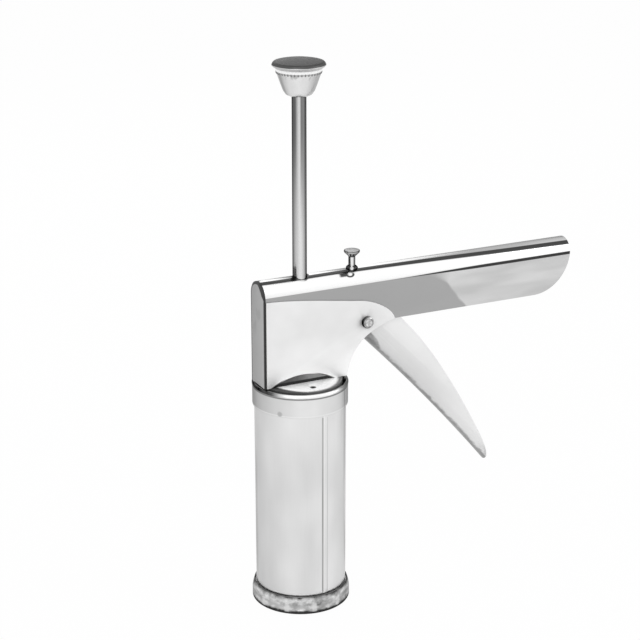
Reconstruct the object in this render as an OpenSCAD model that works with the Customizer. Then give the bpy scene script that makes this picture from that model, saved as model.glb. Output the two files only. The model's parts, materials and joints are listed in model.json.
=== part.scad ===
// Lever press for extruding dough strands. Barrel axis on Z, handle along +X, die mouth at the origin.

/* [Barrel] */
// Outer diameter of the barrel tube
barrel_d = 52; // [44:0.5:64]
// Sheet thickness of the barrel tube
barrel_t = 0.8; // [0.6:0.1:1.2]
// Length of the barrel tube
barrel_len = 126.7; // [110:0.5:160]
// Width of the lapped seam strip
seam_w = 3; // [2:0.5:5]
// How far the seam strip stands proud
seam_t = 0.35; // [0.2:0.05:0.6]
// Direction of the seam strip, degrees round the barrel
seam_angle = -83.3; // [-180:0.1:180]

/* [Collar and rim] */
// Thickness of the collar band
collar_t = 1.1; // [0.8:0.1:1.6]
// Height of the collar band below the barrel's top edge
collar_skirt = 8.4; // [6:0.2:14]
// Radius of the rolled rim bead
rim_r = 1.35; // [1:0.05:1.6]
// Direction of the first bayonet entry in the rim, degrees
entry_angle = -38; // [-50:1:-30]
// Half width of a bayonet entry, degrees
entry_half = 13; // [12:0.5:15]

/* [Ring cap and die] */
// Outer diameter of the ring cap over its ridges
cap_d = 56.6; // [49:0.5:70]
// Height of the ring cap
cap_h = 10.5; // [9:0.5:16]
// Thickness of the inward lip under the die
cap_lip_t = 1; // [0.8:0.1:1.6]
// Diameter of the mouth in the lip
mouth_d = 45; // [36:0.5:47]
// Number of flat grip panels
cap_panels = 11; // [8:1:14]
// Depth of a grip panel at its middle
panel_depth = 0.65; // [0.3:0.05:0.7]
// Thickness of the die disc
die_t = 1.5; // [1:0.1:2.5]
// Diameter of a die hole
die_hole_d = 2.6; // [2:0.1:3.4]
// Distance between die holes
die_pitch = 5.4; // [4.8:0.1:6.5]

/* [Head] */
// Width over the cheeks
head_w = 18.1; // [16:0.1:22]
// Height of the head over the lid
head_h = 60.6; // [56:0.2:70]
// Reach of the front plate from the barrel axis
head_front = 25.8; // [22:0.2:27]
// Length of a cheek from the front plate to the tip of its lobe
cheek_len = 81.5; // [76:0.5:90]
// Height of a cheek at the front
cheek_h = 50.5; // [48:0.5:54]
// Sheet thickness of the head shell
shell_t = 1; // [0.8:0.1:1.4]
// Width of the arched cut-out at a cheek's foot
arch_w = 38; // [30:0.5:42]
// Height of the arched cut-out
arch_h = 5.3; // [4:0.1:8]

/* [Handle] */
// Length of the handle channel
handle_len = 198; // [160:0.5:240]
// Height of the handle channel
handle_h = 31; // [27:0.2:34]
// Sheet thickness of the handle channel
channel_t = 1; // [0.8:0.1:1.4]
// Radius of the round lower corner at the handle's end
handle_corner_r = 24.4; // [10:0.2:26]

/* [Lid] */
// Radius of the lid plate
lid_r = 23.9; // [20:0.1:24]
// Sheet thickness of the lid
lid_t = 1.2; // [0.8:0.1:1.6]
// How far the lid plate stands above the rim
lid_proud = 0.5; // [0.4:0.1:1.5]
// Depth of the lid's skirt
lid_skirt = 9.6; // [7:0.2:12]
// Radius of the vent hole in the lid
vent_r = 0.9; // [0.6:0.1:1.4]
// Distance of the vent hole from the barrel axis
vent_place = 16.9; // [13:0.1:19]

/* [Trigger] */
// Distance of the trigger pivot from the barrel axis
pivot_x = 37.5; // [36:0.5:40]
// Depth of the pivot under the head's top
pivot_depth = 30.2; // [29:0.2:32]
// Length of the trigger from its pivot to the tip
trigger_reach = 132.8; // [110:0.5:150]
// Depth of the trigger's side walls
trigger_depth = 23.3; // [18:0.2:26]
// How far the trigger hangs below the handle's line, degrees
trigger_angle = 47.5; // [44:0.5:52]
// Sheet thickness of the trigger
trigger_t = 1; // [0.8:0.1:1.2]
// Hollow of the trigger's finger side
trigger_hollow = 1.7; // [0.8:0.1:5]
// Radius of the pivot pin's shaft
pivot_r = 2.5; // [2:0.1:3]
// Radius of the pivot pin's head
pivot_head_r = 3.4; // [3:0.1:4.5]
// Height of the pivot pin's head
pivot_head_h = 3; // [1:0.1:4]

/* [Plunger] */
// Diameter of the plunger rod
rod_d = 8; // [6:0.1:9]
// Length of rod that shows between the head and the knob
rod_free = 101; // [80:0.5:115]
// Travel of the plunger
plunger_travel = 100; // [60:0.5:100]
// Radius of the knob's top disc
knob_r = 14.7; // [12.5:0.1:20]
// Height of the knob
knob_h = 20.2; // [17:0.1:24]

/* [Release pin] */
// Distance of the release pin from the barrel axis
release_x = 32.4; // [30:0.2:36]
// Height of the pin's head over the handle
release_rise = 10.4; // [9:0.1:14]
// Radius of the pin's shank
release_r = 1.95; // [1.6:0.05:2.2]
// Radius of the pin's head
release_head_r = 4.5; // [4:0.1:6]
// Travel of the release pin
release_travel = 3; // [2:0.1:3.2]

/* [Springs] */
// Wire diameter of the return spring
return_wire_d = 1.4; // [1:0.1:1.5]
// Turns of the return spring
return_turns = 6; // [4:1:7]
// Wire diameter of the lock spring
lock_wire_d = 1; // [0.8:0.1:1.1]
// Turns of the lock spring
lock_turns = 3; // [2:1:3]

/* [Hidden] */
$fn = 96;
fine_fn = 2400;

// Clearances and overruns
cut = 2;
running_fit = 0.05;
loose_fit = 0.3;
weld_gap = 0.05;
slide_gap = 0.35;

// Barrel, cap and die
barrel_r = barrel_d / 2;
bore_r = barrel_r - barrel_t;
barrel_base_z = cap_lip_t + die_t;
barrel_top_z = barrel_base_z + barrel_len;
seam_margin = 8.8;
seam_half = seam_w / barrel_r * 90 / PI;
thread_t = 0.35;
thread_h = 6.6;
thread_r = barrel_r + thread_t;
cap_r = cap_d / 2;
cap_bore_r = thread_r + loose_fit;
cap_edge = 0.3;
cap_shoulder_share = 0.6;
cap_rim_t = 0.4;
panel_base = 2.2;
panel_top_share = 0.7;
cap_phase = -1.3;
mouth_r = mouth_d / 2;
die_r = cap_bore_r - loose_fit;
die_rings = 3;

// Lid, lugs and rim
lug_t = 1.8;
lug_room = 0.6;
lug_half = 8;
lug_r = barrel_r + weld_gap - loose_fit;
lug_lift = 0.1;
rim_centre_r = barrel_r;
rim_bottom_z = barrel_top_z + lug_t + lug_room;
rim_z = rim_bottom_z + rim_r;
lid_top_z = rim_z + rim_r + lid_proud;
lid_skirt_t = 0.8;
collar_r = barrel_r + weld_gap + collar_t;
collar_seam_w = 0.45;
collar_seam_depth = 0.4;
collar_seam_angle = -49.3;
collar_dimple_r = 0.9;
collar_dimple_depth = 0.35;
collar_dimple_rise = 1.3;
collar_dimple_angle = -140.2;

// Head and handle
head_half = head_w / 2;
channel_half = head_half - shell_t;
inner_half = channel_half - channel_t;
head_top_z = lid_top_z + head_h;
handle_base_z = head_top_z - handle_h;
channel_start = -head_front + shell_t;
handle_end = channel_start + handle_len;
channel_arch_z = head_top_z - channel_half;
arch_shift = -2.5;
arch_r = (arch_w * arch_w / 4 + arch_h * arch_h) / (2 * arch_h);
cheek_top_shares = [[0, 1], [0.25, 0.99], [0.45, 0.92], [0.76, 0.851]];
cheek_lobe_shares = [[0.76, 0.851], [0.891, 0.796], [0.99, 0.687], [1, 0.582]];
cheek_neck_shares = [[1, 0.582], [0.719, 0.479], [0.651, 0.251], [0.626, 0]];
curve_steps = 12;
bracket_len = 40;
bracket_t = 1.2;
bracket_wall_t = 0.95;
bracket_h = 13;
rivet_r = 1.5;
rivet_head_r = 2.4;
rivet_head_h = 0.9;
rivet_x = 15;
rivet_y = 3.2;
bush_r = 5.4;
bush_flange_r = 6.7;
bush_flange_t = 1.2;
bush_drop = 3;

// Pivot and trigger
pivot_z = head_top_z - pivot_depth;
ear_r = 6;
washer_r = 4.6;
washer_t = 0.6;
clip_r = 4.2;
clip_t = 0.8;
clip_groove = 0.5;
pivot_tail = 0.8;
trigger_half = inner_half - slide_gap;
trigger_edge = 7.2;
web_start = 4.5;
web_mid = (web_start + trigger_reach) / 2;
web_half = (trigger_reach - web_start) / 2;
web_r = (web_half * web_half + trigger_hollow * trigger_hollow) / (2 * trigger_hollow);
web_swing = asin(web_half / web_r);
web_axis_v = trigger_hollow - trigger_edge - web_r;
blade_flat_share = 0.225;
blade_tip_share = 0.873;
blade_tip_depth_share = 0.34;
blade_curve = 1.55;
blade_end_shares = [[0.925, 0.24], [0.955, 0.17], [0.985, 0.08], [1, 0]];
blade_neck_shares = [[0.13, 1], [0.06, 0.88]];
boss_r = 6.5;
trigger_bush_r = 4;
nose_reach = 25;
nose_angle = 170;
nose_r = 2.7;
push_r = 3;
push_pin_end_r = 1.8;

// Drive plate, bridge and lock
drive_gap = 0.4;
drive_t = 3;
drive_left = 9;
drive_right = 18;
drive_half = trigger_half - trigger_t - slide_gap;
drive_top_z = pivot_z + nose_reach * sin(nose_angle) - push_r - drive_gap;
grip_gap = 0.3;
spring_seat_z = lid_top_z + bracket_t + bush_flange_t;
bridge_t = 1.5;
bridge_drop = 19.4;
bridge_z = head_top_z - bridge_drop;
bridge_left = 18;
bridge_right = 16;
bridge_tab_len = 10;
bridge_tab_h = 8;
bridge_tab_t = 1;
hanger_x = -16;
hanger_t = 1.2;
hanger_h = 12.6;
hanger_half = 5.4;
tongue_half = 3;
lock_t = 2;
lock_drop = 8.4;
lock_top_z = head_top_z - lock_drop;
lock_half = 5.9;
lock_right = 37;
lock_tail = 3.4;
lock_pivot_x = hanger_x + hanger_t / 2;
lock_tilt = atan(release_travel / (release_x - lock_pivot_x));
lock_hole_gap = 0.55;

// Release pin
release_base_z = lock_top_z + (release_x + release_r - lock_pivot_x) * tan(lock_tilt) + loose_fit;
release_head_h = 3.6;
release_rim_h = 1.1;
release_clip_r = 3.2;
release_clip_t = 1;
release_clip_rise = 1.6;
eyelet_r = 3.3;
eyelet_top_r = 2.5;
eyelet_rise = 1.3;
eyelet_flange = 0.5;
eyelet_drop = 0.7;

// Plunger and knob
rod_r = rod_d / 2;
knob_z = head_top_z + rod_free;
piston_z = barrel_top_z - 6;
piston_t = 1.2;
piston_r = bore_r - 1;
seal_t = 3.5;
seal_r = bore_r - loose_fit;
nut_h = 4;
nut_r = 6.2;
rod_tip_r = 3;
rod_shoulder_z = piston_z - piston_t - seal_t - piston_t;
knob_t = 0.8;
knob_base_shares = [[0.353, 0], [0.49, 0.05], [0.588, 0.15]];
cup_shares = [[0.686, 0.337], [0.789, 0.553], [0.838, 0.645]];
lip_shares = [[0.843, 0.69], [0.868, 0.745], [0.96, 0.8], [0.985, 0.822]];
brim_share = 0.845;
shoulder_shares = [[0.985, 0.862], [0.965, 0.893], [0.925, 0.919]];
rod_in_knob_share = 0.6;
rod_top_z = knob_z + rod_in_knob_share * knob_h;
knob_floor = max(knob_t, knob_base_shares[1][1] * knob_h);
crimp_teeth = 40;
crimp_tooth_w = 0.7;
crimp_tooth_t = 0.35;
knob_bush_r = 5.2;
knob_bush_margin = 1.2;

// Springs
curl_rings = 8;
wire_sides = 6;
return_coil_r = rod_r + 1.75;
lock_coil_r = rod_r + 1.4;

// Point on a cubic curve through four control points
function bezier(p, t) = pow(1 - t, 3) * p[0] + 3 * t * pow(1 - t, 2) * p[1]
    + 3 * t * t * (1 - t) * p[2] + pow(t, 3) * p[3];
function curve(p) = [for (i = [1 : curve_steps]) bezier(p, i / curve_steps)];
function scaled(p, w, h) = [for (q = p) [q[0] * w, q[1] * h]];

// Straight bar with round ends between two circles, as tangent lines and arcs
module link(a, ra, b, rb) {
    reach = norm(b - a);
    aim = atan2(b[1] - a[1], b[0] - a[0]);
    lean = acos((ra - rb) / reach);
    translate(a) circle(r = ra);
    translate(b) circle(r = rb);
    polygon([a + ra * [cos(aim + lean), sin(aim + lean)], b + rb * [cos(aim + lean), sin(aim + lean)],
        b + rb * [cos(aim - lean), sin(aim - lean)], a + ra * [cos(aim - lean), sin(aim - lean)]]);
}

// Ring between two radii
module ring(outer, inner, h) {
    difference() {
        cylinder(r = outer, h = h);
        translate([0, 0, -cut]) cylinder(r = inner, h = h + 2 * cut);
    }
}

// Upright slab that follows a drawing in the X and Z plane, centred on Y
module upright(w) {
    rotate([90, 0, 0]) translate([0, 0, -w / 2]) linear_extrude(w) children();
}

// Round bar along Y through a point of the X and Z plane
module cross_bar(x, z, r, from_y, to_y) {
    translate([x, to_y, z]) rotate([90, 0, 0]) cylinder(r = r, h = to_y - from_y);
}

// Coil spring wire: angle and height of each ring of the tube, straight for one diameter at both ends
function coil_path(d, low, high, turns) = let (n = turns * curl_rings) concat([[0, low]],
    [for (i = [0 : n]) [i * 360 / curl_rings, low + d + (high - low - 2 * d) * i / n]],
    [[turns * 360, high]]);
function coil_centre(q, r) = [r * cos(q[0]), r * sin(q[0]), q[1]];
function coil_gap(path, r, d) = min([for (i = [0 : len(path) - 1]) for (j = [i + 1 : 1 : len(path) - 1])
    if (path[j][0] - path[i][0] > 180) norm(coil_centre(path[i], r) - coil_centre(path[j], r))]) - d;

module coil(r, d, low, high, turns) {
    path = coil_path(d, low, high, turns);
    last = len(path) - 1;
    climb = atan((high - low - 2 * d) / turns / (2 * PI * r));
    rings = [for (i = [0 : last]) let (
        a = path[i][0],
        bend = i == 1 || i == last - 1,
        tilt = i == 0 || i == last ? 90 : bend ? 45 : climb,
        stretch = bend ? sqrt(2) : 1,
        across = [cos(a), sin(a), 0],
        up = stretch * [-sin(tilt) * sin(a), sin(tilt) * cos(a), -cos(tilt)])
        [for (k = [0 : wire_sides - 1]) coil_centre(path[i], r)
            + d / 2 * (cos(k * 360 / wire_sides) * across + sin(k * 360 / wire_sides) * up)]];
    points = [for (one = rings) for (p = one) p];
    sides = [for (i = [0 : last - 1]) for (k = [0 : wire_sides - 1]) let (
        a = i * wire_sides + k,
        b = i * wire_sides + (k + 1) % wire_sides,
        c = a + wire_sides,
        e = b + wire_sides) each [[a, b, e], [a, e, c]]];
    tip = last * wire_sides;
    foot_face = [for (k = [1 : wire_sides - 2]) [0, k + 1, k]];
    tip_face = [for (k = [1 : wire_sides - 2]) [tip, tip + k, tip + k + 1]];
    polyhedron(points, concat(sides, foot_face, tip_face));
}

// Barrel tube with its lapped seam strip
module barrel_tube() {
    color([0.82, 0.83, 0.84]) {
        translate([0, 0, barrel_base_z]) ring(barrel_r, bore_r, barrel_len);
        rotate([0, 0, seam_angle - seam_half])
            translate([0, 0, cap_h + weld_gap])
                rotate_extrude(angle = 2 * seam_half)
                    translate([barrel_r - barrel_t / 2, 0])
                        square([barrel_t / 2 + seam_t, barrel_top_z - collar_skirt - cap_h - 2 * weld_gap]);
    }
}

// Collar band that ends in a rolled rim, with two bayonet entries on the rim's inner side
module barrel_collar() {
    band_h = collar_skirt + lug_t + lug_room + rim_r;
    color([0.84, 0.85, 0.86]) difference() {
        union() {
            translate([0, 0, barrel_top_z - collar_skirt]) ring(collar_r, barrel_r + weld_gap, band_h);
            rotate_extrude() translate([rim_centre_r, rim_z]) circle(r = rim_r);
        }
        for (turn = [0, 180]) rotate([0, 0, entry_angle + turn - entry_half])
            translate([0, 0, barrel_top_z + weld_gap])
                rotate_extrude(angle = 2 * entry_half)
                    translate([rim_centre_r - rim_r - cut, 0])
                        square([rim_r + cut + weld_gap, lug_t + lug_room + 2 * rim_r + cut]);
        rotate([0, 0, collar_seam_angle])
            translate([collar_r - collar_seam_depth, -collar_seam_w / 2, barrel_top_z - collar_skirt - cut])
                cube([collar_seam_depth + cut, collar_seam_w, band_h + cut - rim_r]);
        rotate([0, 0, collar_dimple_angle])
            translate([collar_r - collar_dimple_depth, 0, barrel_top_z - collar_skirt + collar_dimple_rise])
                rotate([0, 90, 0]) cylinder(r = collar_dimple_r, h = cut);
    }
}

// Sleeve at the barrel's foot that takes the ring cap
module thread_ring() {
    color([0.78, 0.79, 0.8]) translate([0, 0, barrel_base_z])
        ring(thread_r, barrel_r + weld_gap, thread_h);
}

// Screw-on ring with an inward lip, a band of flat grip panels and a tapered shoulder
module ring_cap() {
    color([0.86, 0.87, 0.88]) difference() {
        rotate_extrude() polygon([[mouth_r, 0], [cap_r - cap_edge, 0], [cap_r, cap_edge],
            [cap_r, cap_shoulder_share * cap_h], [cap_bore_r + cap_rim_t, cap_h - cap_rim_t],
            [cap_bore_r + cap_rim_t / 2, cap_h], [cap_bore_r, cap_h], [cap_bore_r, cap_lip_t],
            [mouth_r, cap_lip_t]]);
        for (i = [0 : cap_panels - 1]) rotate([0, 0, cap_phase + (i + 0.5) * 360 / cap_panels])
            translate([cap_r - panel_depth, -cap_r, panel_base])
                cube([panel_depth + cut, 2 * cap_r, panel_top_share * cap_h - panel_base]);
    }
}

// Die with rings of small round holes
module die_disc() {
    color([0.72, 0.73, 0.75]) translate([0, 0, cap_lip_t]) difference() {
        cylinder(r = die_r, h = die_t);
        for (i = [0 : die_rings], k = [0 : max(6 * i, 1) - 1])
            rotate([0, 0, k * 60 / max(i, 1)]) translate([i * die_pitch, 0, -cut])
                cylinder(r = die_hole_d / 2, h = die_t + 2 * cut);
    }
}

// Lid with a skirt and two lugs that lock under the rim
module lid_plate() {
    color([0.85, 0.86, 0.87]) difference() {
        union() {
            translate([0, 0, lid_top_z - lid_t]) cylinder(r = lid_r, h = lid_t);
            translate([0, 0, lid_top_z - lid_t - lid_skirt])
                ring(lid_r, lid_r - lid_skirt_t, lid_skirt + lid_t / 2);
            for (side = [-90, 90]) rotate([0, 0, side - lug_half]) translate([0, 0, barrel_top_z + lug_lift])
                rotate_extrude(angle = 2 * lug_half) translate([lid_r - lid_skirt_t, 0])
                    square([lug_r - lid_r + lid_skirt_t, lug_t]);
        }
        translate([0, 0, lid_top_z - lid_t - cut]) cylinder(r = bush_r + weld_gap, h = lid_t + 2 * cut);
        translate([0, -vent_place, lid_top_z - lid_t - cut]) cylinder(r = vent_r, h = lid_t + 2 * cut);
        for (x = [-rivet_x, rivet_x], y = [-rivet_y, rivet_y])
            translate([x, y, lid_top_z - lid_t - cut])
                cylinder(r = rivet_r + weld_gap, h = lid_t + 2 * cut);
    }
}

// Flanged guide bush for the rod, seat of the return spring
module lid_bush() {
    color([0.75, 0.68, 0.42]) difference() {
        union() {
            translate([0, 0, lid_top_z - lid_t - bush_drop])
                cylinder(r = bush_r, h = lid_t + bush_drop + bracket_t + bush_flange_t);
            translate([0, 0, lid_top_z + bracket_t]) cylinder(r = bush_flange_r, h = bush_flange_t);
        }
        translate([0, 0, lid_top_z - lid_t - bush_drop - cut])
            cylinder(r = rod_r + running_fit, h = lid_t + bush_drop + bracket_t + bush_flange_t + 2 * cut);
    }
}

// Bracket bent up inside the cheeks and riveted to the lid
module head_bracket() {
    outer = channel_half;
    color([0.6, 0.61, 0.62]) difference() {
        union() {
            translate([-bracket_len / 2, -outer, lid_top_z]) cube([bracket_len, 2 * outer, bracket_t]);
            for (side = [-outer, outer - bracket_wall_t])
                translate([-bracket_len / 2, side, lid_top_z]) cube([bracket_len, bracket_wall_t, bracket_h]);
        }
        translate([0, 0, lid_top_z - cut]) cylinder(r = bush_r + weld_gap, h = bracket_t + 2 * cut);
        for (x = [-rivet_x, rivet_x], y = [-rivet_y, rivet_y])
            translate([x, y, lid_top_z - cut]) cylinder(r = rivet_r + weld_gap, h = bracket_t + 2 * cut);
    }
}

// Four rivets that join the bracket to the lid
module bracket_rivets() {
    color([0.7, 0.71, 0.72]) for (x = [-rivet_x, rivet_x], y = [-rivet_y, rivet_y])
        translate([x, y, lid_top_z - lid_t - rivet_head_h]) {
            cylinder(r = rivet_r, h = lid_t + bracket_t + 2 * rivet_head_h);
            cylinder(r = rivet_head_r, h = rivet_head_h);
            translate([0, 0, rivet_head_h + lid_t + bracket_t]) cylinder(r = rivet_head_r, h = rivet_head_h);
        }
}

// Side outline of a cheek, from the front plate to the tip of its pivot lobe
module cheek_outline() {
    difference() {
        translate([-head_front, lid_top_z])
            polygon(concat([[0, 0]], [[0, cheek_h]], curve(scaled(cheek_top_shares, cheek_len, cheek_h)),
                curve(scaled(cheek_lobe_shares, cheek_len, cheek_h)),
                curve(scaled(cheek_neck_shares, cheek_len, cheek_h))));
        translate([arch_shift, lid_top_z + arch_h - arch_r]) circle(r = arch_r);
        translate([pivot_x, pivot_z]) circle(r = pivot_r + weld_gap);
    }
}

// Sheet folded round the head: arch-topped front plate and two cheeks
module head_shell() {
    color([0.88, 0.89, 0.9]) {
        for (side = [-1, 1]) translate([0, side * (head_half - shell_t / 2), 0])
            upright(shell_t) cheek_outline();
        translate([-head_front, 0, 0]) {
            translate([0, -head_half, lid_top_z]) cube([shell_t, head_w, head_h - head_half]);
            translate([0, 0, head_top_z - head_half]) rotate([0, 90, 0]) cylinder(r = head_half, h = shell_t);
        }
    }
}

// Solid round-topped bar along the handle
module handle_bar(half, start, length, base) {
    translate([start, 0, channel_arch_z]) rotate([0, 90, 0]) cylinder(r = half, h = length);
    translate([start, -half, base]) cube([length, 2 * half, channel_arch_z - base]);
}

// Inverted channel that forms the fixed handle and the roof of the head
module handle_channel() {
    corner_x = handle_end - handle_corner_r;
    corner_z = handle_base_z + handle_corner_r;
    color([0.8, 0.81, 0.82]) difference() {
        union() {
            handle_bar(channel_half, channel_start, handle_len, handle_base_z);
            cross_bar(pivot_x, pivot_z, ear_r, -channel_half, channel_half);
        }
        handle_bar(inner_half, channel_start - cut, handle_len + 2 * cut, handle_base_z - ear_r - cut);
        difference() {
            translate([corner_x, -head_w, corner_z - handle_corner_r - cut])
                cube([handle_corner_r + cut, 2 * head_w, handle_corner_r + cut]);
            cross_bar(corner_x, corner_z, handle_corner_r, -head_w - cut, head_w + cut);
        }
        cross_bar(pivot_x, pivot_z, pivot_r + weld_gap, -head_w, head_w);
        translate([0, 0, channel_arch_z]) cylinder(r = rod_r + loose_fit, h = channel_half + cut);
        translate([release_x, 0, channel_arch_z])
            cylinder(r = eyelet_top_r + weld_gap, h = channel_half + cut);
    }
}

// Cross plate in the channel that guides the rod, with two welded tabs
module guide_bridge() {
    color([0.62, 0.63, 0.65]) difference() {
        union() {
            translate([-bridge_left, -inner_half, bridge_z])
                cube([bridge_left + bridge_right, 2 * inner_half, bridge_t]);
            for (side = [-inner_half, inner_half - bridge_tab_t])
                translate([-bridge_left, side, bridge_z - bridge_tab_h])
                    cube([bridge_tab_len, bridge_tab_t, bridge_tab_h + bridge_t / 2]);
        }
        translate([0, 0, bridge_z - cut]) cylinder(r = rod_r + running_fit, h = bridge_t + 2 * cut);
    }
}

// Upright plate with a window that holds the tail of the lock plate
module lock_hanger() {
    window_h = lock_t + 2 * loose_fit;
    base_z = bridge_z + bridge_t;
    color([0.62, 0.63, 0.65]) difference() {
        translate([hanger_x, -hanger_half, base_z]) cube([hanger_t, 2 * hanger_half, hanger_h]);
        translate([hanger_x - cut, -tongue_half - loose_fit, lock_top_z - lock_t - loose_fit])
            cube([hanger_t + 2 * cut, 2 * (tongue_half + loose_fit), window_h]);
    }
}

// Pivot pin: a plain head on the near side and a grooved tail for the clip on the far side
module pivot_pin() {
    tail_y = head_half + washer_t + clip_t + pivot_tail;
    groove_y = head_half + washer_t;
    color([0.7, 0.71, 0.73]) difference() {
        union() {
            cross_bar(pivot_x, pivot_z, pivot_head_r, -head_half - pivot_head_h, -head_half);
            cross_bar(pivot_x, pivot_z, pivot_r, -head_half - pivot_head_h / 2, tail_y);
        }
        translate([pivot_x, groove_y + clip_t, pivot_z]) rotate([90, 0, 0])
            ring(pivot_r + cut, pivot_r - clip_groove, clip_t);
    }
}

// Washer under the retaining clip
module pivot_washer() {
    color([0.66, 0.67, 0.69]) translate([pivot_x, head_half + washer_t, pivot_z]) rotate([90, 0, 0])
        ring(washer_r, pivot_r + running_fit, washer_t);
}

// Open retaining clip in the pin's groove
module pivot_clip() {
    color([0.5, 0.51, 0.53]) translate([pivot_x, head_half + washer_t + clip_t, pivot_z]) rotate([90, 0, 0])
        difference() {
            cylinder(r = clip_r, h = clip_t);
            translate([0, 0, -cut])
                cylinder(r = pivot_r - clip_groove + running_fit, h = clip_t + 2 * cut);
            translate([0, -pivot_r + clip_groove + running_fit, -cut])
                cube([clip_r + cut, 2 * (pivot_r - clip_groove - running_fit), clip_t + 2 * cut]);
        }
}

// Places a drawing in the trigger's own plane: pivot at the origin, length along X
module on_trigger() {
    translate([pivot_x, 0, pivot_z]) rotate([90, 0, 0]) rotate([0, 0, -trigger_angle]) children();
}

// Centre of the nose that carries the push pin, in the trigger's own plane
function nose_centre() = nose_reach * [cos(nose_angle + trigger_angle), sin(nose_angle + trigger_angle)];

// Outline of a side wall of the trigger without its nose
module blade_outline() {
    flat_u = blade_flat_share * trigger_reach;
    tip_u = blade_tip_share * trigger_reach;
    top_v = trigger_depth - trigger_edge;
    drop = trigger_depth * (1 - blade_tip_depth_share);
    polygon(concat([[0, boss_r], [0, -trigger_edge]],
        [for (i = [len(blade_end_shares) - 1 : -1 : 0])
            [blade_end_shares[i][0] * trigger_reach, blade_end_shares[i][1] * trigger_depth - trigger_edge]],
        [for (i = [curve_steps : -1 : 0])
            [flat_u + (tip_u - flat_u) * i / curve_steps, top_v - drop * pow(i / curve_steps, blade_curve)]],
        [for (q = blade_neck_shares) [q[0] * trigger_reach, q[1] * trigger_depth - trigger_edge]]));
}

// Bar of half-round finger side that follows the trigger's hollow, to be cut by the side outline
module web_bar(half) {
    translate([web_mid, web_axis_v, 0]) rotate_extrude($fn = fine_fn) {
        translate([web_r + trigger_half, 0]) circle(r = half, $fn = 96);
        translate([web_r + trigger_half, -half]) square([trigger_depth + boss_r, 2 * half]);
    }
}

// Trigger: a bent sheet with two side walls, a half-round finger side and two noses
module trigger() {
    inner = trigger_half - trigger_t;
    color([0.86, 0.87, 0.88]) on_trigger() difference() {
        union() {
            intersection() {
                translate([0, 0, -trigger_half]) linear_extrude(2 * trigger_half) blade_outline();
                web_bar(trigger_half);
            }
            translate([0, 0, -trigger_half]) linear_extrude(2 * trigger_half)
                link([0, 0], boss_r, nose_centre(), nose_r);
        }
        web_bar(inner);
        translate([0, 0, -inner]) linear_extrude(2 * inner)
            link([0, 0], boss_r + cut, nose_centre(), nose_r + cut);
        translate([0, 0, -trigger_half - cut])
            cylinder(r = pivot_r + running_fit, h = 2 * (trigger_half + cut));
        translate(concat(nose_centre(), [-trigger_half - cut]))
            cylinder(r = push_pin_end_r + weld_gap, h = 2 * (trigger_half + cut));
    }
}

// Spacer tube between the trigger's side walls
module trigger_bush() {
    inner = trigger_half - trigger_t;
    color([0.72, 0.73, 0.74]) on_trigger() translate([0, 0, -inner])
        ring(trigger_bush_r, pivot_r + running_fit, 2 * inner);
}

// Shouldered pin between the noses that bears on the drive plate
module push_pin() {
    inner = trigger_half - trigger_t;
    color([0.68, 0.69, 0.71]) on_trigger() translate(nose_centre()) {
        translate([0, 0, -inner]) cylinder(r = push_r, h = 2 * inner);
        translate([0, 0, -trigger_half]) cylinder(r = push_pin_end_r, h = 2 * trigger_half);
    }
}

// Plate that grips the rod and carries it down
module drive_plate() {
    color([0.55, 0.56, 0.58]) difference() {
        translate([-drive_left, -drive_half, drive_top_z - drive_t])
            cube([drive_left + drive_right, 2 * drive_half, drive_t]);
        translate([0, 0, drive_top_z - drive_t - cut])
            cylinder(r = rod_r + grip_gap, h = drive_t + 2 * cut);
    }
}

// Coil spring under the drive plate
module return_spring() {
    color([0.5, 0.51, 0.53])
        coil(return_coil_r, return_wire_d, spring_seat_z, drive_top_z - drive_t, return_turns);
}

// Tilted plate that keeps the rod from creeping back
module lock_plate() {
    color([0.55, 0.56, 0.58]) translate([lock_pivot_x, 0, lock_top_z]) rotate([0, -lock_tilt, 0])
        translate([-lock_pivot_x, 0, -lock_top_z]) difference() {
            union() {
                translate([hanger_x + hanger_t + loose_fit, -lock_half, lock_top_z - lock_t])
                    cube([lock_right - hanger_x - hanger_t - loose_fit, 2 * lock_half, lock_t]);
                translate([hanger_x - lock_tail, -tongue_half, lock_top_z - lock_t])
                    cube([lock_tail + hanger_t + 2 * loose_fit, 2 * tongue_half, lock_t]);
            }
            translate([0, 0, lock_top_z - lock_t - cut])
                cylinder(r = rod_r + lock_hole_gap, h = lock_t + 2 * cut);
        }
}

// Coil spring that lifts the lock plate
module lock_spring() {
    color([0.5, 0.51, 0.53])
        coil(lock_coil_r, lock_wire_d, bridge_z + bridge_t, lock_top_z - lock_t - loose_fit, lock_turns);
}

// Release pin with a head that is conical underneath
module release_pin() {
    head_z = head_top_z + release_rise - release_head_h;
    color([0.74, 0.75, 0.77]) translate([release_x, 0, 0]) {
        translate([0, 0, release_base_z]) cylinder(r = release_r, h = head_z - release_base_z + release_rim_h);
        translate([0, 0, head_z]) rotate_extrude()
            polygon([[0, 0], [release_r, 0], [release_head_r, release_head_h - release_rim_h],
                [release_head_r, release_head_h - release_rim_h / 2],
                [release_head_r - release_rim_h / 2, release_head_h], [0, release_head_h]]);
    }
}

// Clip that keeps the release pin in the handle
module release_clip() {
    color([0.45, 0.46, 0.48]) translate([release_x, 0, release_base_z + release_clip_rise])
        ring(release_clip_r, release_r + weld_gap, release_clip_t);
}

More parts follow.
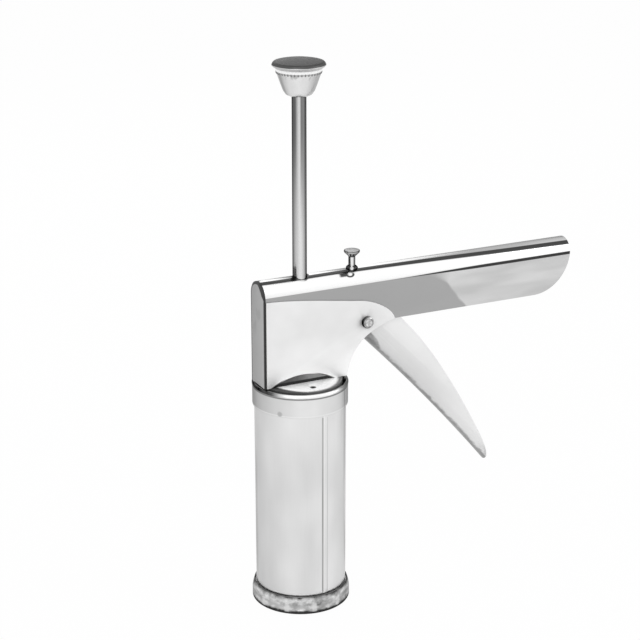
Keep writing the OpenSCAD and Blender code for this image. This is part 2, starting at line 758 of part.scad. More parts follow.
// Eyelet in the handle's roof that guides the release pin
module pin_eyelet() {
    color([0.6, 0.61, 0.63]) difference() {
        translate([release_x, 0, 0]) union() {
            translate([0, 0, head_top_z - channel_t]) cylinder(r = eyelet_top_r, h = channel_t + eyelet_flange);
            difference() {
                translate([0, 0, head_top_z - eyelet_drop]) rotate_extrude()
                    polygon([[0, 0], [eyelet_r, 0], [eyelet_r, eyelet_drop + eyelet_flange],
                        [eyelet_top_r, eyelet_drop + eyelet_rise], [0, eyelet_drop + eyelet_rise]]);
                translate([-eyelet_r - cut, 0, channel_arch_z])
                    rotate([0, 90, 0]) cylinder(r = channel_half + weld_gap, h = 2 * (eyelet_r + cut));
            }
        }
        translate([release_x, 0, head_top_z - channel_t - cut])
            cylinder(r = release_r + running_fit, h = channel_t + eyelet_rise + 2 * cut);
    }
}

// Plunger rod with a thinner threaded foot
module plunger_rod() {
    color([0.76, 0.77, 0.79]) {
        translate([0, 0, piston_z]) cylinder(r = rod_r, h = rod_top_z - piston_z);
        translate([0, 0, rod_shoulder_z - nut_h]) cylinder(r = rod_tip_r, h = nut_h + piston_z - rod_shoulder_z);
    }
}

// Upper plate of the piston
module piston_top() {
    color([0.78, 0.79, 0.8]) translate([0, 0, piston_z - piston_t])
        ring(piston_r, rod_tip_r + weld_gap, piston_t);
}

// Seal between the piston's plates, grooved round its rim
module piston_seal() {
    color([0.88, 0.88, 0.86]) translate([0, 0, piston_z - piston_t - seal_t]) difference() {
        ring(seal_r, rod_tip_r + weld_gap, seal_t);
        translate([0, 0, seal_t / 3]) ring(seal_r + cut, seal_r - seal_t / 3, seal_t / 3);
    }
}

// Lower plate of the piston
module piston_bottom() {
    color([0.78, 0.79, 0.8]) translate([0, 0, rod_shoulder_z])
        ring(piston_r, rod_tip_r + weld_gap, piston_t);
}

// Hexagon nut under the piston
module piston_nut() {
    color([0.66, 0.67, 0.69]) translate([0, 0, rod_shoulder_z - nut_h]) difference() {
        cylinder(r = nut_r, h = nut_h, $fn = 6);
        translate([0, 0, -cut]) cylinder(r = rod_tip_r + weld_gap, h = nut_h + 2 * cut);
    }
}

// Threaded bush inside the knob
module knob_bush() {
    color([0.7, 0.71, 0.72]) translate([0, 0, knob_z + knob_floor + weld_gap])
        ring(knob_bush_r, rod_r + weld_gap, rod_top_z - knob_z - knob_floor + knob_bush_margin);
}

// Conical cup of the knob, a thin shell that flares into a bright lip
module knob_cup() {
    outer = scaled(concat(knob_base_shares, cup_shares, lip_shares), knob_r, knob_h);
    inner = [for (i = [len(outer) - 1 : -1 : 1])
        [outer[i][0] - knob_t, max(outer[i][1], knob_floor)]];
    color([0.85, 0.86, 0.87]) translate([0, 0, knob_z]) rotate_extrude()
        polygon(concat([[rod_r + weld_gap, knob_floor], [rod_r + weld_gap, 0]], outer, inner));
}

// Serrated crimp line under the knob's lip
module knob_crimp() {
    low = cup_shares[2];
    outer = low[0] * knob_r;
    height = (lip_shares[0][1] - low[1]) * knob_h;
    seat = lip_shares[0][0] * knob_r + weld_gap;
    color([0.7, 0.71, 0.72]) translate([0, 0, knob_z + low[1] * knob_h]) {
        ring(outer + crimp_tooth_t, seat, height);
        for (i = [0 : crimp_teeth - 1]) rotate([0, 0, i * 360 / crimp_teeth])
            translate([seat, -crimp_tooth_w / 2, -height])
                cube([outer + crimp_tooth_t - seat, crimp_tooth_w, 2 * height]);
    }
}

// Polished disc that closes the knob, with a thin brim, a rounded shoulder and a shallow dome
module knob_top() {
    base = lip_shares[3][1] * knob_h;
    seat_r = lip_shares[3][0] * knob_r;
    brim_t = (brim_share * knob_h - base) / 2;
    shoulder = scaled(shoulder_shares, knob_r, knob_h);
    edge = shoulder[len(shoulder) - 1];
    rise = knob_h - edge[1];
    dome_r = (edge[0] * edge[0] + rise * rise) / (2 * rise);
    dome = [for (i = [1 : curve_steps]) let (r = edge[0] * (1 - i / curve_steps))
        [r, knob_h - dome_r + sqrt(dome_r * dome_r - r * r)]];
    color([0.42, 0.43, 0.45]) translate([0, 0, knob_z]) rotate_extrude()
        polygon(concat([[0, base], [seat_r, base], [knob_r, base + brim_t / 2],
            [knob_r, base + brim_t * 3 / 2]], shoulder, dome));
}

echo(str("return spring gap ", coil_gap(coil_path(return_wire_d, spring_seat_z, drive_top_z - drive_t,
    return_turns), return_coil_r, return_wire_d)));
echo(str("lock spring gap ", coil_gap(coil_path(lock_wire_d, bridge_z + bridge_t,
    lock_top_z - lock_t - loose_fit, lock_turns), lock_coil_r, lock_wire_d)));

barrel_tube();
barrel_collar();
thread_ring();
ring_cap();
die_disc();
lid_plate();
lid_bush();
head_bracket();
bracket_rivets();
head_shell();
handle_channel();
guide_bridge();
lock_hanger();
pivot_pin();
pivot_washer();
pivot_clip();
trigger();
trigger_bush();
push_pin();
drive_plate();
return_spring();
lock_plate();
lock_spring();
release_pin();
release_clip();
pin_eyelet();
plunger_rod();
piston_top();
piston_seal();
piston_bottom();
piston_nut();
knob_bush();
knob_cup();
knob_crimp();
knob_top();
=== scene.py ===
"""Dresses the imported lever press: finer shapes, steel finishes, a pale studio and the photo's camera."""

import json
import math
from functools import cache

import bmesh
import bpy
from bpy.props import FloatProperty, FloatVectorProperty, IntProperty, PointerProperty
from mathutils import Matrix, Vector

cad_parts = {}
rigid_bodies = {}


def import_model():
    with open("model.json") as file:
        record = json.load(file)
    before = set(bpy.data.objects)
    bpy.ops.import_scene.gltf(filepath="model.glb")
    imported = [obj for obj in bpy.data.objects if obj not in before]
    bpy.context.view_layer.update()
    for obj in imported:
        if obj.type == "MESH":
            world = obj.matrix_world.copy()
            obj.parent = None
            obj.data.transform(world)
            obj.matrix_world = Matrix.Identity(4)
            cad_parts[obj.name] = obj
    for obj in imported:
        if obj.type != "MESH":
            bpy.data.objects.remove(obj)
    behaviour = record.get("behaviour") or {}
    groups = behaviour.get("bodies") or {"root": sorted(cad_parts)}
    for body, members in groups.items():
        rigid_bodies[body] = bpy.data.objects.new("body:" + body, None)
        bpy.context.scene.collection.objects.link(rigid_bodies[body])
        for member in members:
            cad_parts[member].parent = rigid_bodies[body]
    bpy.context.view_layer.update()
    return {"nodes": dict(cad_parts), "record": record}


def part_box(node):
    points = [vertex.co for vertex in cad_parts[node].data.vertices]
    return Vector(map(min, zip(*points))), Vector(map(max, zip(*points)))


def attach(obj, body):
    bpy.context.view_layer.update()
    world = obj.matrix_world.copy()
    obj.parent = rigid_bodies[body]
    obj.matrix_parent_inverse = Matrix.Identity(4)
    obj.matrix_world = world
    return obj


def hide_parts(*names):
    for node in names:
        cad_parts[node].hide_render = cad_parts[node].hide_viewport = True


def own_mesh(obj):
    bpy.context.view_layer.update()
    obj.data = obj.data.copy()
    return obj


bl_info = {
    "name": "Lever press dresser",
    "version": (1, 0, 0),
    "blender": (4, 5, 0),
    "location": "View3D > Sidebar > Press",
    "description": "Gives the packed lever press its finished pieces, steel finishes and studio",
    "category": "Object",
}

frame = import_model()
NODES = frame["nodes"]
RECORD = frame["record"]
BODY_OF = {node: body for body, members in RECORD["behaviour"]["bodies"].items() for node in members}
MM = 0.001
TURN = 2 * math.pi

# Sizes in mm and angles in radians, but the bayonet entries in degrees


def ends(node, axis):
    """Low and high end of a solid of the frame along an axis, in mm."""
    k = "xyz".index(axis)
    return [round(corner[k] / MM, 2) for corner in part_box(node)]


GAP = 0.05

BARREL_R = ends("barrel_tube", "x")[1]
BARREL_T = 0.8
BARREL_LOW, BARREL_HIGH = ends("barrel_tube", "z")

COLLAR_T = 1.1
COLLAR_LOW, COLLAR_HIGH = ends("barrel_collar", "z")
COLLAR_SEAM = math.radians(-49.3)
DENT = (-20.86, -17.38, COLLAR_LOW + 1.7)
BEAD_R = 1.35
BEAD_Z = COLLAR_HIGH - BEAD_R
ENTRIES, ENTRY_HALF = (-38, 142), 13

CAP_R = ends("ring_cap", "x")[1]
CAP_H = ends("ring_cap", "z")[1]
CAP_BORE_R = 26.65
CAP_LIP = 1.0
CAP_PANELS, CAP_PHASE = 11, math.radians(-1.3)
MOUTH_R = 22.5

SEAM_LOW, SEAM_HIGH = CAP_H + 0.1, COLLAR_LOW - 0.1
SEAM_HALF, SEAM_LIFT = 1.5, 0.35
SEAM_ANGLE = math.radians(-83.3)

DIE_LOW, DIE_HIGH = ends("die_disc", "z")
DIE_HOLE_R = 1.3

VENT_Y = -16.9
BUSH_LOW, BUSH_HIGH = ends("lid_bush", "z")
LID_TOP = 136.0
RIVET_LOW, RIVET_HIGH = ends("bracket_rivets", "z")
RIVET_DOME = 0.9

HEAD_HALF = ends("head_shell", "y")[1]
HEAD_LOW = ends("head_shell", "z")[0]
HEAD_TOP = ends("handle_channel", "z")[1]
ROOF_HALF = ends("handle_channel", "y")[1]
HEAD_Z, ROOF_Z = HEAD_TOP - HEAD_HALF, HEAD_TOP - ROOF_HALF
FRONT_X = -24.8
# Where the painted reflection ring sits on the handle's roof: x in mm and angle round the roof.
ROOF_REFLECTION_X, ROOF_REFLECTION_ARCH = 28.6, -0.707
ARCH_W, ARCH_H = 38, 5.3
ARCH_X = -2.5

PIVOT_X, PIVOT_Z = 37.5, 165.2
PIVOT_R = 2.5
PIVOT_HEAD_R = 3.4
PIVOT_END = ends("pivot_pin", "y")[1]
WASHER_LOW, WASHER_HIGH = ends("pivot_washer", "y")
CLIP_LOW, CLIP_HIGH = ends("pivot_clip", "y")
TRIGGER_LEAN = math.radians(47.5)
TRIGGER_MIDDLE, TRIGGER_REACH = 68.65, 64.15

PIN_X = sum(ends("pin_eyelet", "x")) / 2
PIN_R = 1.95
PIN_HEAD_R = 4.5
PIN_LOW, PIN_HIGH = ends("release_pin", "z")

ROD_R = ends("plunger_rod", "x")[1]
ROD_LOW, ROD_HIGH = ends("plunger_rod", "z")[0], 308.5
PISTON_LOW = ends("piston_bottom", "z")[0]
KNOB_R = ends("knob_top", "x")[1]
KNOB_LOW, KNOB_HIGH = ends("knob_top", "z")
KNOB_CROWN = 57.0
CRIMP_R, CRIMP_Z = 12.12, 309.5

# Places of the camera and of what it and the lamps point at, in metres, and the way it faces

CAMERA_PLACE, CAMERA_AIM = (-0.41418, -0.86786, 0.50334), (0.012581, 0.000086, 0.167237)
LAMP_AIM = (0.03, 0, 0.15)
FACING = math.radians(-116.2)


# Node trees


def both_ways(operation):
    """Two methods that add a Math node: one for what stands after the value, one for before."""

    def after(self, other):
        return self.math(operation, self, other)

    def before(self, other):
        return self.math(operation, other, self)

    return after, before


class Value:
    """One socket of a node tree. Arithmetic on it adds Math nodes."""

    def __init__(self, tree, socket):
        self.tree, self.socket = tree, socket

    def math(self, operation, *values):
        return self.tree.node("ShaderNodeMath", dict(enumerate(values)), operation=operation)

    __add__, __radd__ = both_ways("ADD")
    __sub__, __rsub__ = both_ways("SUBTRACT")
    __mul__, __rmul__ = both_ways("MULTIPLY")
    __truediv__, __rtruediv__ = both_ways("DIVIDE")
    __pow__, __rpow__ = both_ways("POWER")

    def __abs__(self):
        return self.math("ABSOLUTE", self)

    def least(self, other):
        return self.math("MINIMUM", self, other)

    def most(self, other):
        return self.math("MAXIMUM", self, other)

    def past(self, edge, soft):
        """0 before the edge and 1 after it, with a smooth step as wide as soft."""
        return self.spread(edge - soft / 2, edge + soft / 2, 0, 1)

    def before(self, edge, soft):
        """1 before the edge and 0 after it."""
        return self.spread(edge - soft / 2, edge + soft / 2, 1, 0)

    def near(self, centre, half, soft):
        """1 within half of the centre and 0 farther off."""
        return abs(self - centre).before(half, soft)

    def spread(self, low, high, at_low, at_high):
        """Maps low..high onto at_low..at_high with smooth ends."""
        values = dict(enumerate((self, low, high, at_low, at_high)))
        return self.tree.node("ShaderNodeMapRange", values, interpolation_type="SMOOTHSTEP")

    def swing(self, size):
        """Noise from 0 to 1 turned into noise round 0, as wide as size."""
        return (self - 0.5) * size

    def toward(self, other, share):
        """This value where share is 0, and the other where it is 1."""
        return self + (other - self) * share


def length(first, *more):
    """Length of a line that has these parts along the axes."""
    total = first * first
    for part in more:
        total = total + part * part
    return total**0.5


class Tree:
    """A node tree that is written as expressions."""

    def __init__(self, tree):
        self.tree = tree

    def put(self, socket, value):
        if isinstance(value, Value):
            self.tree.links.new(value.socket, socket)
        else:
            socket.default_value = value

    def node(self, kind, values=None, out=0, **settings):
        """Adds a node: its settings first, then the values or links of its sockets."""
        made = self.tree.nodes.new(kind)
        for key, value in settings.items():
            setattr(made, key, value)
        for key, value in (values or {}).items():
            self.put(made.inputs[key], value)
        return Value(self, made.outputs[out]) if made.outputs else None

    def split(self, vector):
        """The x, y and z of a vector."""
        parts = self.node("ShaderNodeSeparateXYZ", {0: vector})
        return [Value(self, out) for out in parts.socket.node.outputs]

    def rays(self, first, *more):
        """1 for rays of the named kinds and 0 for others."""
        kinds = self.node("ShaderNodeLightPath", out=first).socket.node.outputs
        share = Value(self, kinds[first])
        for kind in more:
            share = share.most(Value(self, kinds[kind]))
        return share


class Finish(Tree):
    """A surface finish: tone, roughness and relief that vary over the piece. Its places are in mm."""

    def __init__(self, name):
        self.material = bpy.data.materials.new(name)
        self.material.use_nodes = True
        super().__init__(self.material.node_tree)
        self.tree.nodes.clear()
        self.place = self.node("ShaderNodeTexCoord", out="Object")
        self.x, self.y, self.z = (part / MM for part in self.split(self.place))

    def noise(self, scale, detail=2.0, stretch=None, rough=0.5):
        """Soft noise from 0 to 1, scale in patches per metre; stretch scales each axis on its own."""
        place = self.place
        if stretch:
            place = self.node("ShaderNodeMapping", {"Vector": place, "Scale": stretch})
        values = {"Vector": place, "Scale": scale, "Detail": detail, "Roughness": rough}
        return self.node("ShaderNodeTexNoise", values, noise_dimensions="3D")

    def bearing(self, x=0.0):
        """Angle round an upright axis at x."""
        return self.y.math("ARCTAN2", self.y, self.x - x)

    def radius(self, x=0.0, y=0.0):
        """Distance from an upright axis."""
        return length(self.x - x, self.y - y)

    def sweep(self, x=0.0):
        """Place across a round upright piece: 0.5 toward the camera, 0 and 1 at its edges."""
        turn = (self.bearing(x) - FACING) / math.pi + 0.5
        return turn.math("FRACT", turn)

    def ramp(self, share, *stops):
        """Tones at places from 0 to 1, with straight runs between them."""
        made = self.node("ShaderNodeValToRGB", {0: share})
        elements = made.socket.node.color_ramp.elements
        for element, (place, tone) in zip(list(elements), (stops[0], stops[-1])):
            element.position = place
            element.color = (tone, tone, tone, 1)
        for place, tone in stops[1:-1]:
            elements.new(place).color = (tone, tone, tone, 1)
        return made

    def across(self, place, *stops):
        """Painted light and shade across a round bar: tones at places from -1 to 1 as the camera sees it.
        """
        turned = [(0.5 + math.asin(at) / math.pi, tone) for at, tone in stops]
        return self.ramp(place, *turned)

    def close(self, tone, rough, relief, depth, metal=1.0, glint=1.0):
        """Ends the tree in a Principled shader. A low glint dims what grazing faces reflect."""
        bump = {"Strength": 1.0, "Distance": depth * MM, "Height": relief}
        values = {
            "Base Color": tone,
            "Roughness": rough,
            "Metallic": metal,
            "Specular Tint": (glint, glint, glint, 1),
            "Normal": self.node("ShaderNodeBump", bump),
        }
        shader = self.node("ShaderNodeBsdfPrincipled", values)
        self.node("ShaderNodeOutputMaterial", {"Surface": shader})
        return self.material


class Maker(Tree):
    """A Geometry Nodes tree with named inputs, which is run once on a mesh."""

    SOCKETS = {
        "length": "NodeSocketFloat",
        "angle": "NodeSocketFloat",
        "number": "NodeSocketFloat",
        "count": "NodeSocketInt",
        "material": "NodeSocketMaterial",
    }

    def __init__(self, name, lengths, **inputs):
        super().__init__(bpy.data.node_groups.new(name, "GeometryNodeTree"))
        lengths = dict.fromkeys(lengths.split(), "length")
        self.kinds = {**lengths, **inputs, "finish": "material"}
        face = self.tree.interface
        face.new_socket("Geometry", in_out="INPUT", socket_type="NodeSocketGeometry")
        self.ids = {}
        for key, kind in self.kinds.items():
            label = key.replace("_", " ").capitalize()
            made = face.new_socket(label, in_out="INPUT", socket_type=self.SOCKETS[kind])
            self.ids[key] = made.identifier
        face.new_socket("Geometry", in_out="OUTPUT", socket_type="NodeSocketGeometry")
        group = self.tree.nodes.new("NodeGroupInput")
        self.base = Value(self, group.outputs[0])
        for place, key in enumerate(self.ids, 1):
            setattr(self, key, Value(self, group.outputs[place]))

    def position(self):
        """The x, y and z of each point."""
        return self.split(self.node("GeometryNodeInputPosition"))

    def vector(self, x=0.0, y=0.0, z=0.0):
        return self.node("ShaderNodeCombineXYZ", {0: x, 1: y, 2: z})

    def placed(self, geometry, position):
        """The geometry with each point at a new position."""
        return self.node("GeometryNodeSetPosition", {"Geometry": geometry, "Position": position})

    def raised(self, geometry, height):
        """The geometry moved up."""
        shift = self.vector(0.0, 0.0, height)
        return self.node("GeometryNodeTransform", {"Geometry": geometry, "Translation": shift})

    def ball(self, segments, rings, *radii):
        """A round grain with its own radius along each axis."""
        values = {"Segments": segments, "Rings": rings, "Radius": 1.0}
        ball = self.node("GeometryNodeMeshUVSphere", values)
        return self.node("GeometryNodeTransform", {"Geometry": ball, "Scale": self.vector(*radii)})

    def bar(self, sides, radius, depth):
        """An upright round bar round the origin."""
        values = {"Vertices": sides, "Radius": radius, "Depth": depth}
        return self.node("GeometryNodeMeshCylinder", values, fill_type="NGON")

    def circle(self, count, radius):
        """Points on a circle round the origin."""
        return self.node("GeometryNodeMeshCircle", {"Vertices": count, "Radius": radius})

    def at_points(self, points, instance, **more):
        """The instance at each of the points."""
        values = {"Points": points, "Instance": instance, **more}
        return self.node("GeometryNodeInstanceOnPoints", values)

    def joined(self, *parts):
        made = self.tree.nodes.new("GeometryNodeJoinGeometry")
        for part in reversed(parts):
            self.tree.links.new(part.socket, made.inputs[0])
        return Value(self, made.outputs[0])

    def finish_with(self, geometry):
        """Realizes the instances, sets the finish and ends the tree."""
        real = self.node("GeometryNodeRealizeInstances", {0: geometry})
        smooth = self.node("GeometryNodeSetShadeSmooth", {"Geometry": real})
        painted = self.node("GeometryNodeSetMaterial", {"Geometry": smooth, "Material": self.finish})
        end = self.tree.nodes.new("NodeGroupOutput")
        self.tree.links.new(painted.socket, end.inputs[0])
        return self

    def run(self, name, material, base=None, **values):
        """Runs the tree on a mesh, with lengths in mm, and returns a plain mesh object."""
        made = link(name, base or bpy.data.meshes.new(name + "_base"))
        modifier = made.modifiers.new("grow", "NODES")
        modifier.node_group = self.tree
        for key, value in {**values, "finish": material}.items():
            is_length = self.kinds[key] == "length"
            modifier[self.ids[key]] = value * MM if is_length else value
        graph = bpy.context.evaluated_depsgraph_get()
        mesh = bpy.data.meshes.new_from_object(made.evaluated_get(graph))
        made.modifiers.clear()
        made.data = mesh
        if not mesh.polygons:
            raise RuntimeError(f"{name} came out empty")
        return made


# Mesh helpers


def link(name, mesh):
    made = bpy.data.objects.new(name, mesh)
    bpy.context.scene.collection.objects.link(made)
    return made


def meshed(name, edit):
    """Writes an edit mesh to a new mesh and frees it."""
    made = bpy.data.meshes.new(name)
    edit.to_mesh(made)
    edit.free()
    return made


def soften(mesh, angle=32):
    """Smooth shading with sharp edges kept past the angle."""
    mesh.shade_smooth()
    mesh.set_sharp_from_angle(angle=math.radians(angle))


def on_circle(radius, angle, height):
    """A point in metres from a radius and a height in mm."""
    return (radius * MM * math.cos(angle), radius * MM * math.sin(angle), height * MM)


def lathed(name, profile, segments, centre=(0, 0), along="Z"):
    """Turns a profile of (radius, height) points in mm. One that starts off the axis is a loop."""
    edit = bmesh.new()
    rows = []
    for radius, height in profile:
        count = segments if radius else 1
        angles = [TURN * k / segments for k in range(count)]
        rows.append([edit.verts.new(on_circle(radius, a, height)) for a in angles])
    pairs = list(zip(rows, rows[1:]))
    if profile[0][0]:
        pairs.append((rows[-1], rows[0]))
    for low, high in pairs:
        for k in range(segments):
            n = (k + 1) % segments
            near_side = [low[k % len(low)], low[n % len(low)]]
            far_side = [high[n % len(high)], high[k % len(high)]]
            face = list(dict.fromkeys(near_side + far_side))
            if len(face) > 2:
                edit.faces.new(face)
    bmesh.ops.recalc_face_normals(edit, faces=edit.faces)
    shift = Vector((centre[0], centre[1], 0))
    if along == "Y":
        quarter = Matrix.Rotation(TURN / 4, 4, "X")
        bmesh.ops.transform(edit, matrix=quarter, verts=edit.verts)
        shift = Vector((centre[0], 0, centre[1]))
    bmesh.ops.translate(edit, vec=shift * MM, verts=edit.verts)
    made = meshed(name, edit)
    soften(made)
    return made


def ring(inner, outer, low, high):
    """Profile of a plain ring."""
    return [(inner, low), (outer, low), (outer, high), (inner, high)]


def rounded(profile, radius, closed=False):
    """Rounds the corners of a profile in mm, each by at most radius."""
    points = [Vector(p) for p in profile]
    steps, straight, share = 3, math.radians(165), 0.45
    out = []
    for i, here in enumerate(points):
        before, after = points[i - 1], points[(i + 1) % len(points)]
        a, b = before - here, after - here
        is_end = not closed and i in (0, len(points) - 1)
        if is_end or a.angle(b) > straight:
            out.append(tuple(here))
            continue
        reach = min(radius, a.length * share, b.length * share)
        start, end = here + a.normalized() * reach, here + b.normalized() * reach
        for k in range(steps + 1):
            t = k / steps
            bend = (1 - t) ** 2 * start + 2 * t * (1 - t) * here + t * t * end
            out.append(tuple(bend))
    return out


def filled(profile, step):
    """Adds points so that no stretch of a profile in mm is longer than step."""
    out = []
    for a, b in zip(profile, profile[1:]):
        n = max(1, math.ceil(math.dist(a, b) / step))
        out += [(a[0] + (b[0] - a[0]) * k / n, a[1] + (b[1] - a[1]) * k / n) for k in range(n)]
    return out + [profile[-1]]


def edged(made, width):
    """A live bevel with hard normals over the sharp edges of a piece."""
    bevel = made.modifiers.new("edge", "BEVEL")
    bevel.width = width * MM
    bevel.segments = 2
    bevel.limit_method = "ANGLE"
    bevel.angle_limit = math.radians(38)
    bevel.harden_normals = True
    bevel.use_clamp_overlap = True
    return made


def dressed(node, name, width):
    """A merged copy of a solid from the frame, with smooth faces and fine rounded edges."""
    edit = bmesh.new()
    edit.from_mesh(NODES[node].data)
    bmesh.ops.remove_doubles(edit, verts=edit.verts, dist=0.002 * MM)
    bmesh.ops.dissolve_limit(edit, angle_limit=math.radians(0.3), verts=edit.verts, edges=edit.edges)
    made = meshed(name, edit)
    made.materials.clear()
    if width:
        made.shade_smooth()
        return edged(link(name, made), width)
    soften(made)
    return link(name, made)


def settle(made, node, material=None):
    """Gives a piece its finish, seats it on the node's body and hides the solid it stands for."""
    if material is not None:
        made.data.materials.clear()
        made.data.materials.append(material)
    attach(made, BODY_OF[node])
    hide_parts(node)
    return made


def dress(node, name, material, width=0.0):
    """Settles a dressed copy of a solid in its place."""
    return settle(dressed(node, name, width), node, material)


def turned(node, name, material, profile, segments=64, **how):
    """Settles a turned piece in the place of a solid."""
    return settle(link(name, lathed(name, profile, segments, **how)), node, material)


def paint(node, material):
    """Gives a solid from the frame a finish of its own."""
    data = NODES[node].data
    data.materials.clear()
    data.materials.append(material)
    soften(data)


# Settings


class StudioSettings(bpy.types.PropertyGroup):
    floor_tone: FloatVectorProperty(
        name="Floor", description="Colour of the floor", default=(0.86, 0.86, 0.86), subtype="COLOR"
    )
    key_power: FloatProperty(
        name="Key lamp", description="Power of the lamp on the photographed side",
        default=5.0, min=0, unit="POWER",
    )
    fill_power: FloatProperty(
        name="Fill lamp", description="Power of the lamp on the far side",
        default=3.0, min=0, unit="POWER",
    )
    lens: FloatProperty(name="Lens", description="Focal length in mm", default=102.57, min=20)


class RepeatSettings(bpy.types.PropertyGroup):
    cap_panels: IntProperty(
        name="Cap panels", description="Flat grip panels round the ring cap", default=CAP_PANELS, min=6
    )
    panel_depth: FloatProperty(
        name="Panel depth", description="Depth of a panel at its middle",
        default=0.65 * MM, unit="LENGTH", precision=5,
    )
    crimp_teeth: IntProperty(
        name="Crimp teeth", description="Pressed marks round the knob", default=40, min=8
    )
    spring_turns: IntProperty(
        name="Return spring turns", description="Turns of the return spring", default=7, min=4
    )
    die_pitch: FloatProperty(
        name="Die pitch", description="Distance between die holes",
        default=5.4 * MM, unit="LENGTH", precision=5,
    )


# Operators


class PRESS_OT_studio(bpy.types.Operator):
    """Sets the pale floor, the soft lamps, the white surroundings and the camera"""

    bl_idname = "press.studio"
    bl_label = "Studio"

    def execute(self, context):
        s = context.scene.press_studio
        self.floor(s)
        self.world()
        self.lamp("key_lamp", (-0.75, -0.95, 0.95), 0.9, s.key_power)
        self.lamp("side_lamp", (1.0, -0.55, 0.7), 0.7, s.key_power * 0.45)
        self.lamp("fill_lamp", (0.25, 1.1, 0.9), 1.0, s.fill_power)
        data = bpy.data.cameras.new("photo_camera")
        data.sensor_width = 36.0
        data.lens = s.lens
        camera = link("photo_camera", data)
        self.aim(camera, CAMERA_PLACE, CAMERA_AIM)
        context.scene.camera = camera
        context.scene.view_settings.view_transform = "Standard"
        return {"FINISHED"}

    def aim(self, made, place, target):
        """Puts a lamp or camera at a place, pointing at the target."""
        made.location = place
        line = Vector(target) - made.location
        made.rotation_euler = line.to_track_quat("-Z", "Y").to_euler()

    def floor(self, s):
        mesh = bpy.data.meshes.new("floor")
        half, drop = 4.0, 0.1 * MM
        corners = [(-half, -half), (half, -half), (half, half), (-half, half)]
        mesh.from_pydata([(x, y, -drop) for x, y in corners], [], [(0, 1, 2, 3)])
        made = link("floor", mesh)
        f = Finish("floor_white")
        ray = f.rays("Is Camera Ray")
        glossy = f.rays("Is Glossy Ray", "Is Transmission Ray")
        grain = 0.98 + f.noise(30) * 0.04
        tones = {0: 1.0, 6: (*s.floor_tone, 1), 7: grain}
        colour = f.node("ShaderNodeMix", tones, out=2, data_type="RGBA", blend_type="MULTIPLY")
        matt = f.node("ShaderNodeBsdfPrincipled", {"Base Color": colour, "Roughness": 0.7})
        white = {"Color": (1, 1, 1, 1), "Strength": 1.0}
        glow = f.node("ShaderNodeEmission", white)
        share = ray * 0.965 + glossy * 0.4
        mixed = f.node("ShaderNodeMixShader", {0: share, 1: matt, 2: glow})
        f.node("ShaderNodeOutputMaterial", {"Surface": mixed})
        mesh.materials.append(f.material)

    def world(self):
        world = bpy.data.worlds.new("studio")
        world.use_nodes = True
        bpy.context.scene.world = world
        world.node_tree.nodes.clear()
        w = Tree(world.node_tree)
        seen = w.rays("Is Camera Ray", "Is Glossy Ray", "Is Transmission Ray")
        plain, white = (
            w.node("ShaderNodeBackground", {"Color": (1, 1, 1, 1), "Strength": power})
            for power in (0.75, 1.0)
        )
        mixed = w.node("ShaderNodeMixShader", {0: seen, 1: plain, 2: white})
        w.node("ShaderNodeOutputWorld", {"Surface": mixed})

    def lamp(self, name, place, size, power):
        data = bpy.data.lights.new(name, "AREA")
        data.shape = "DISK"
        data.size = size
        data.energy = power
        self.aim(link(name, data), place, LAMP_AIM)


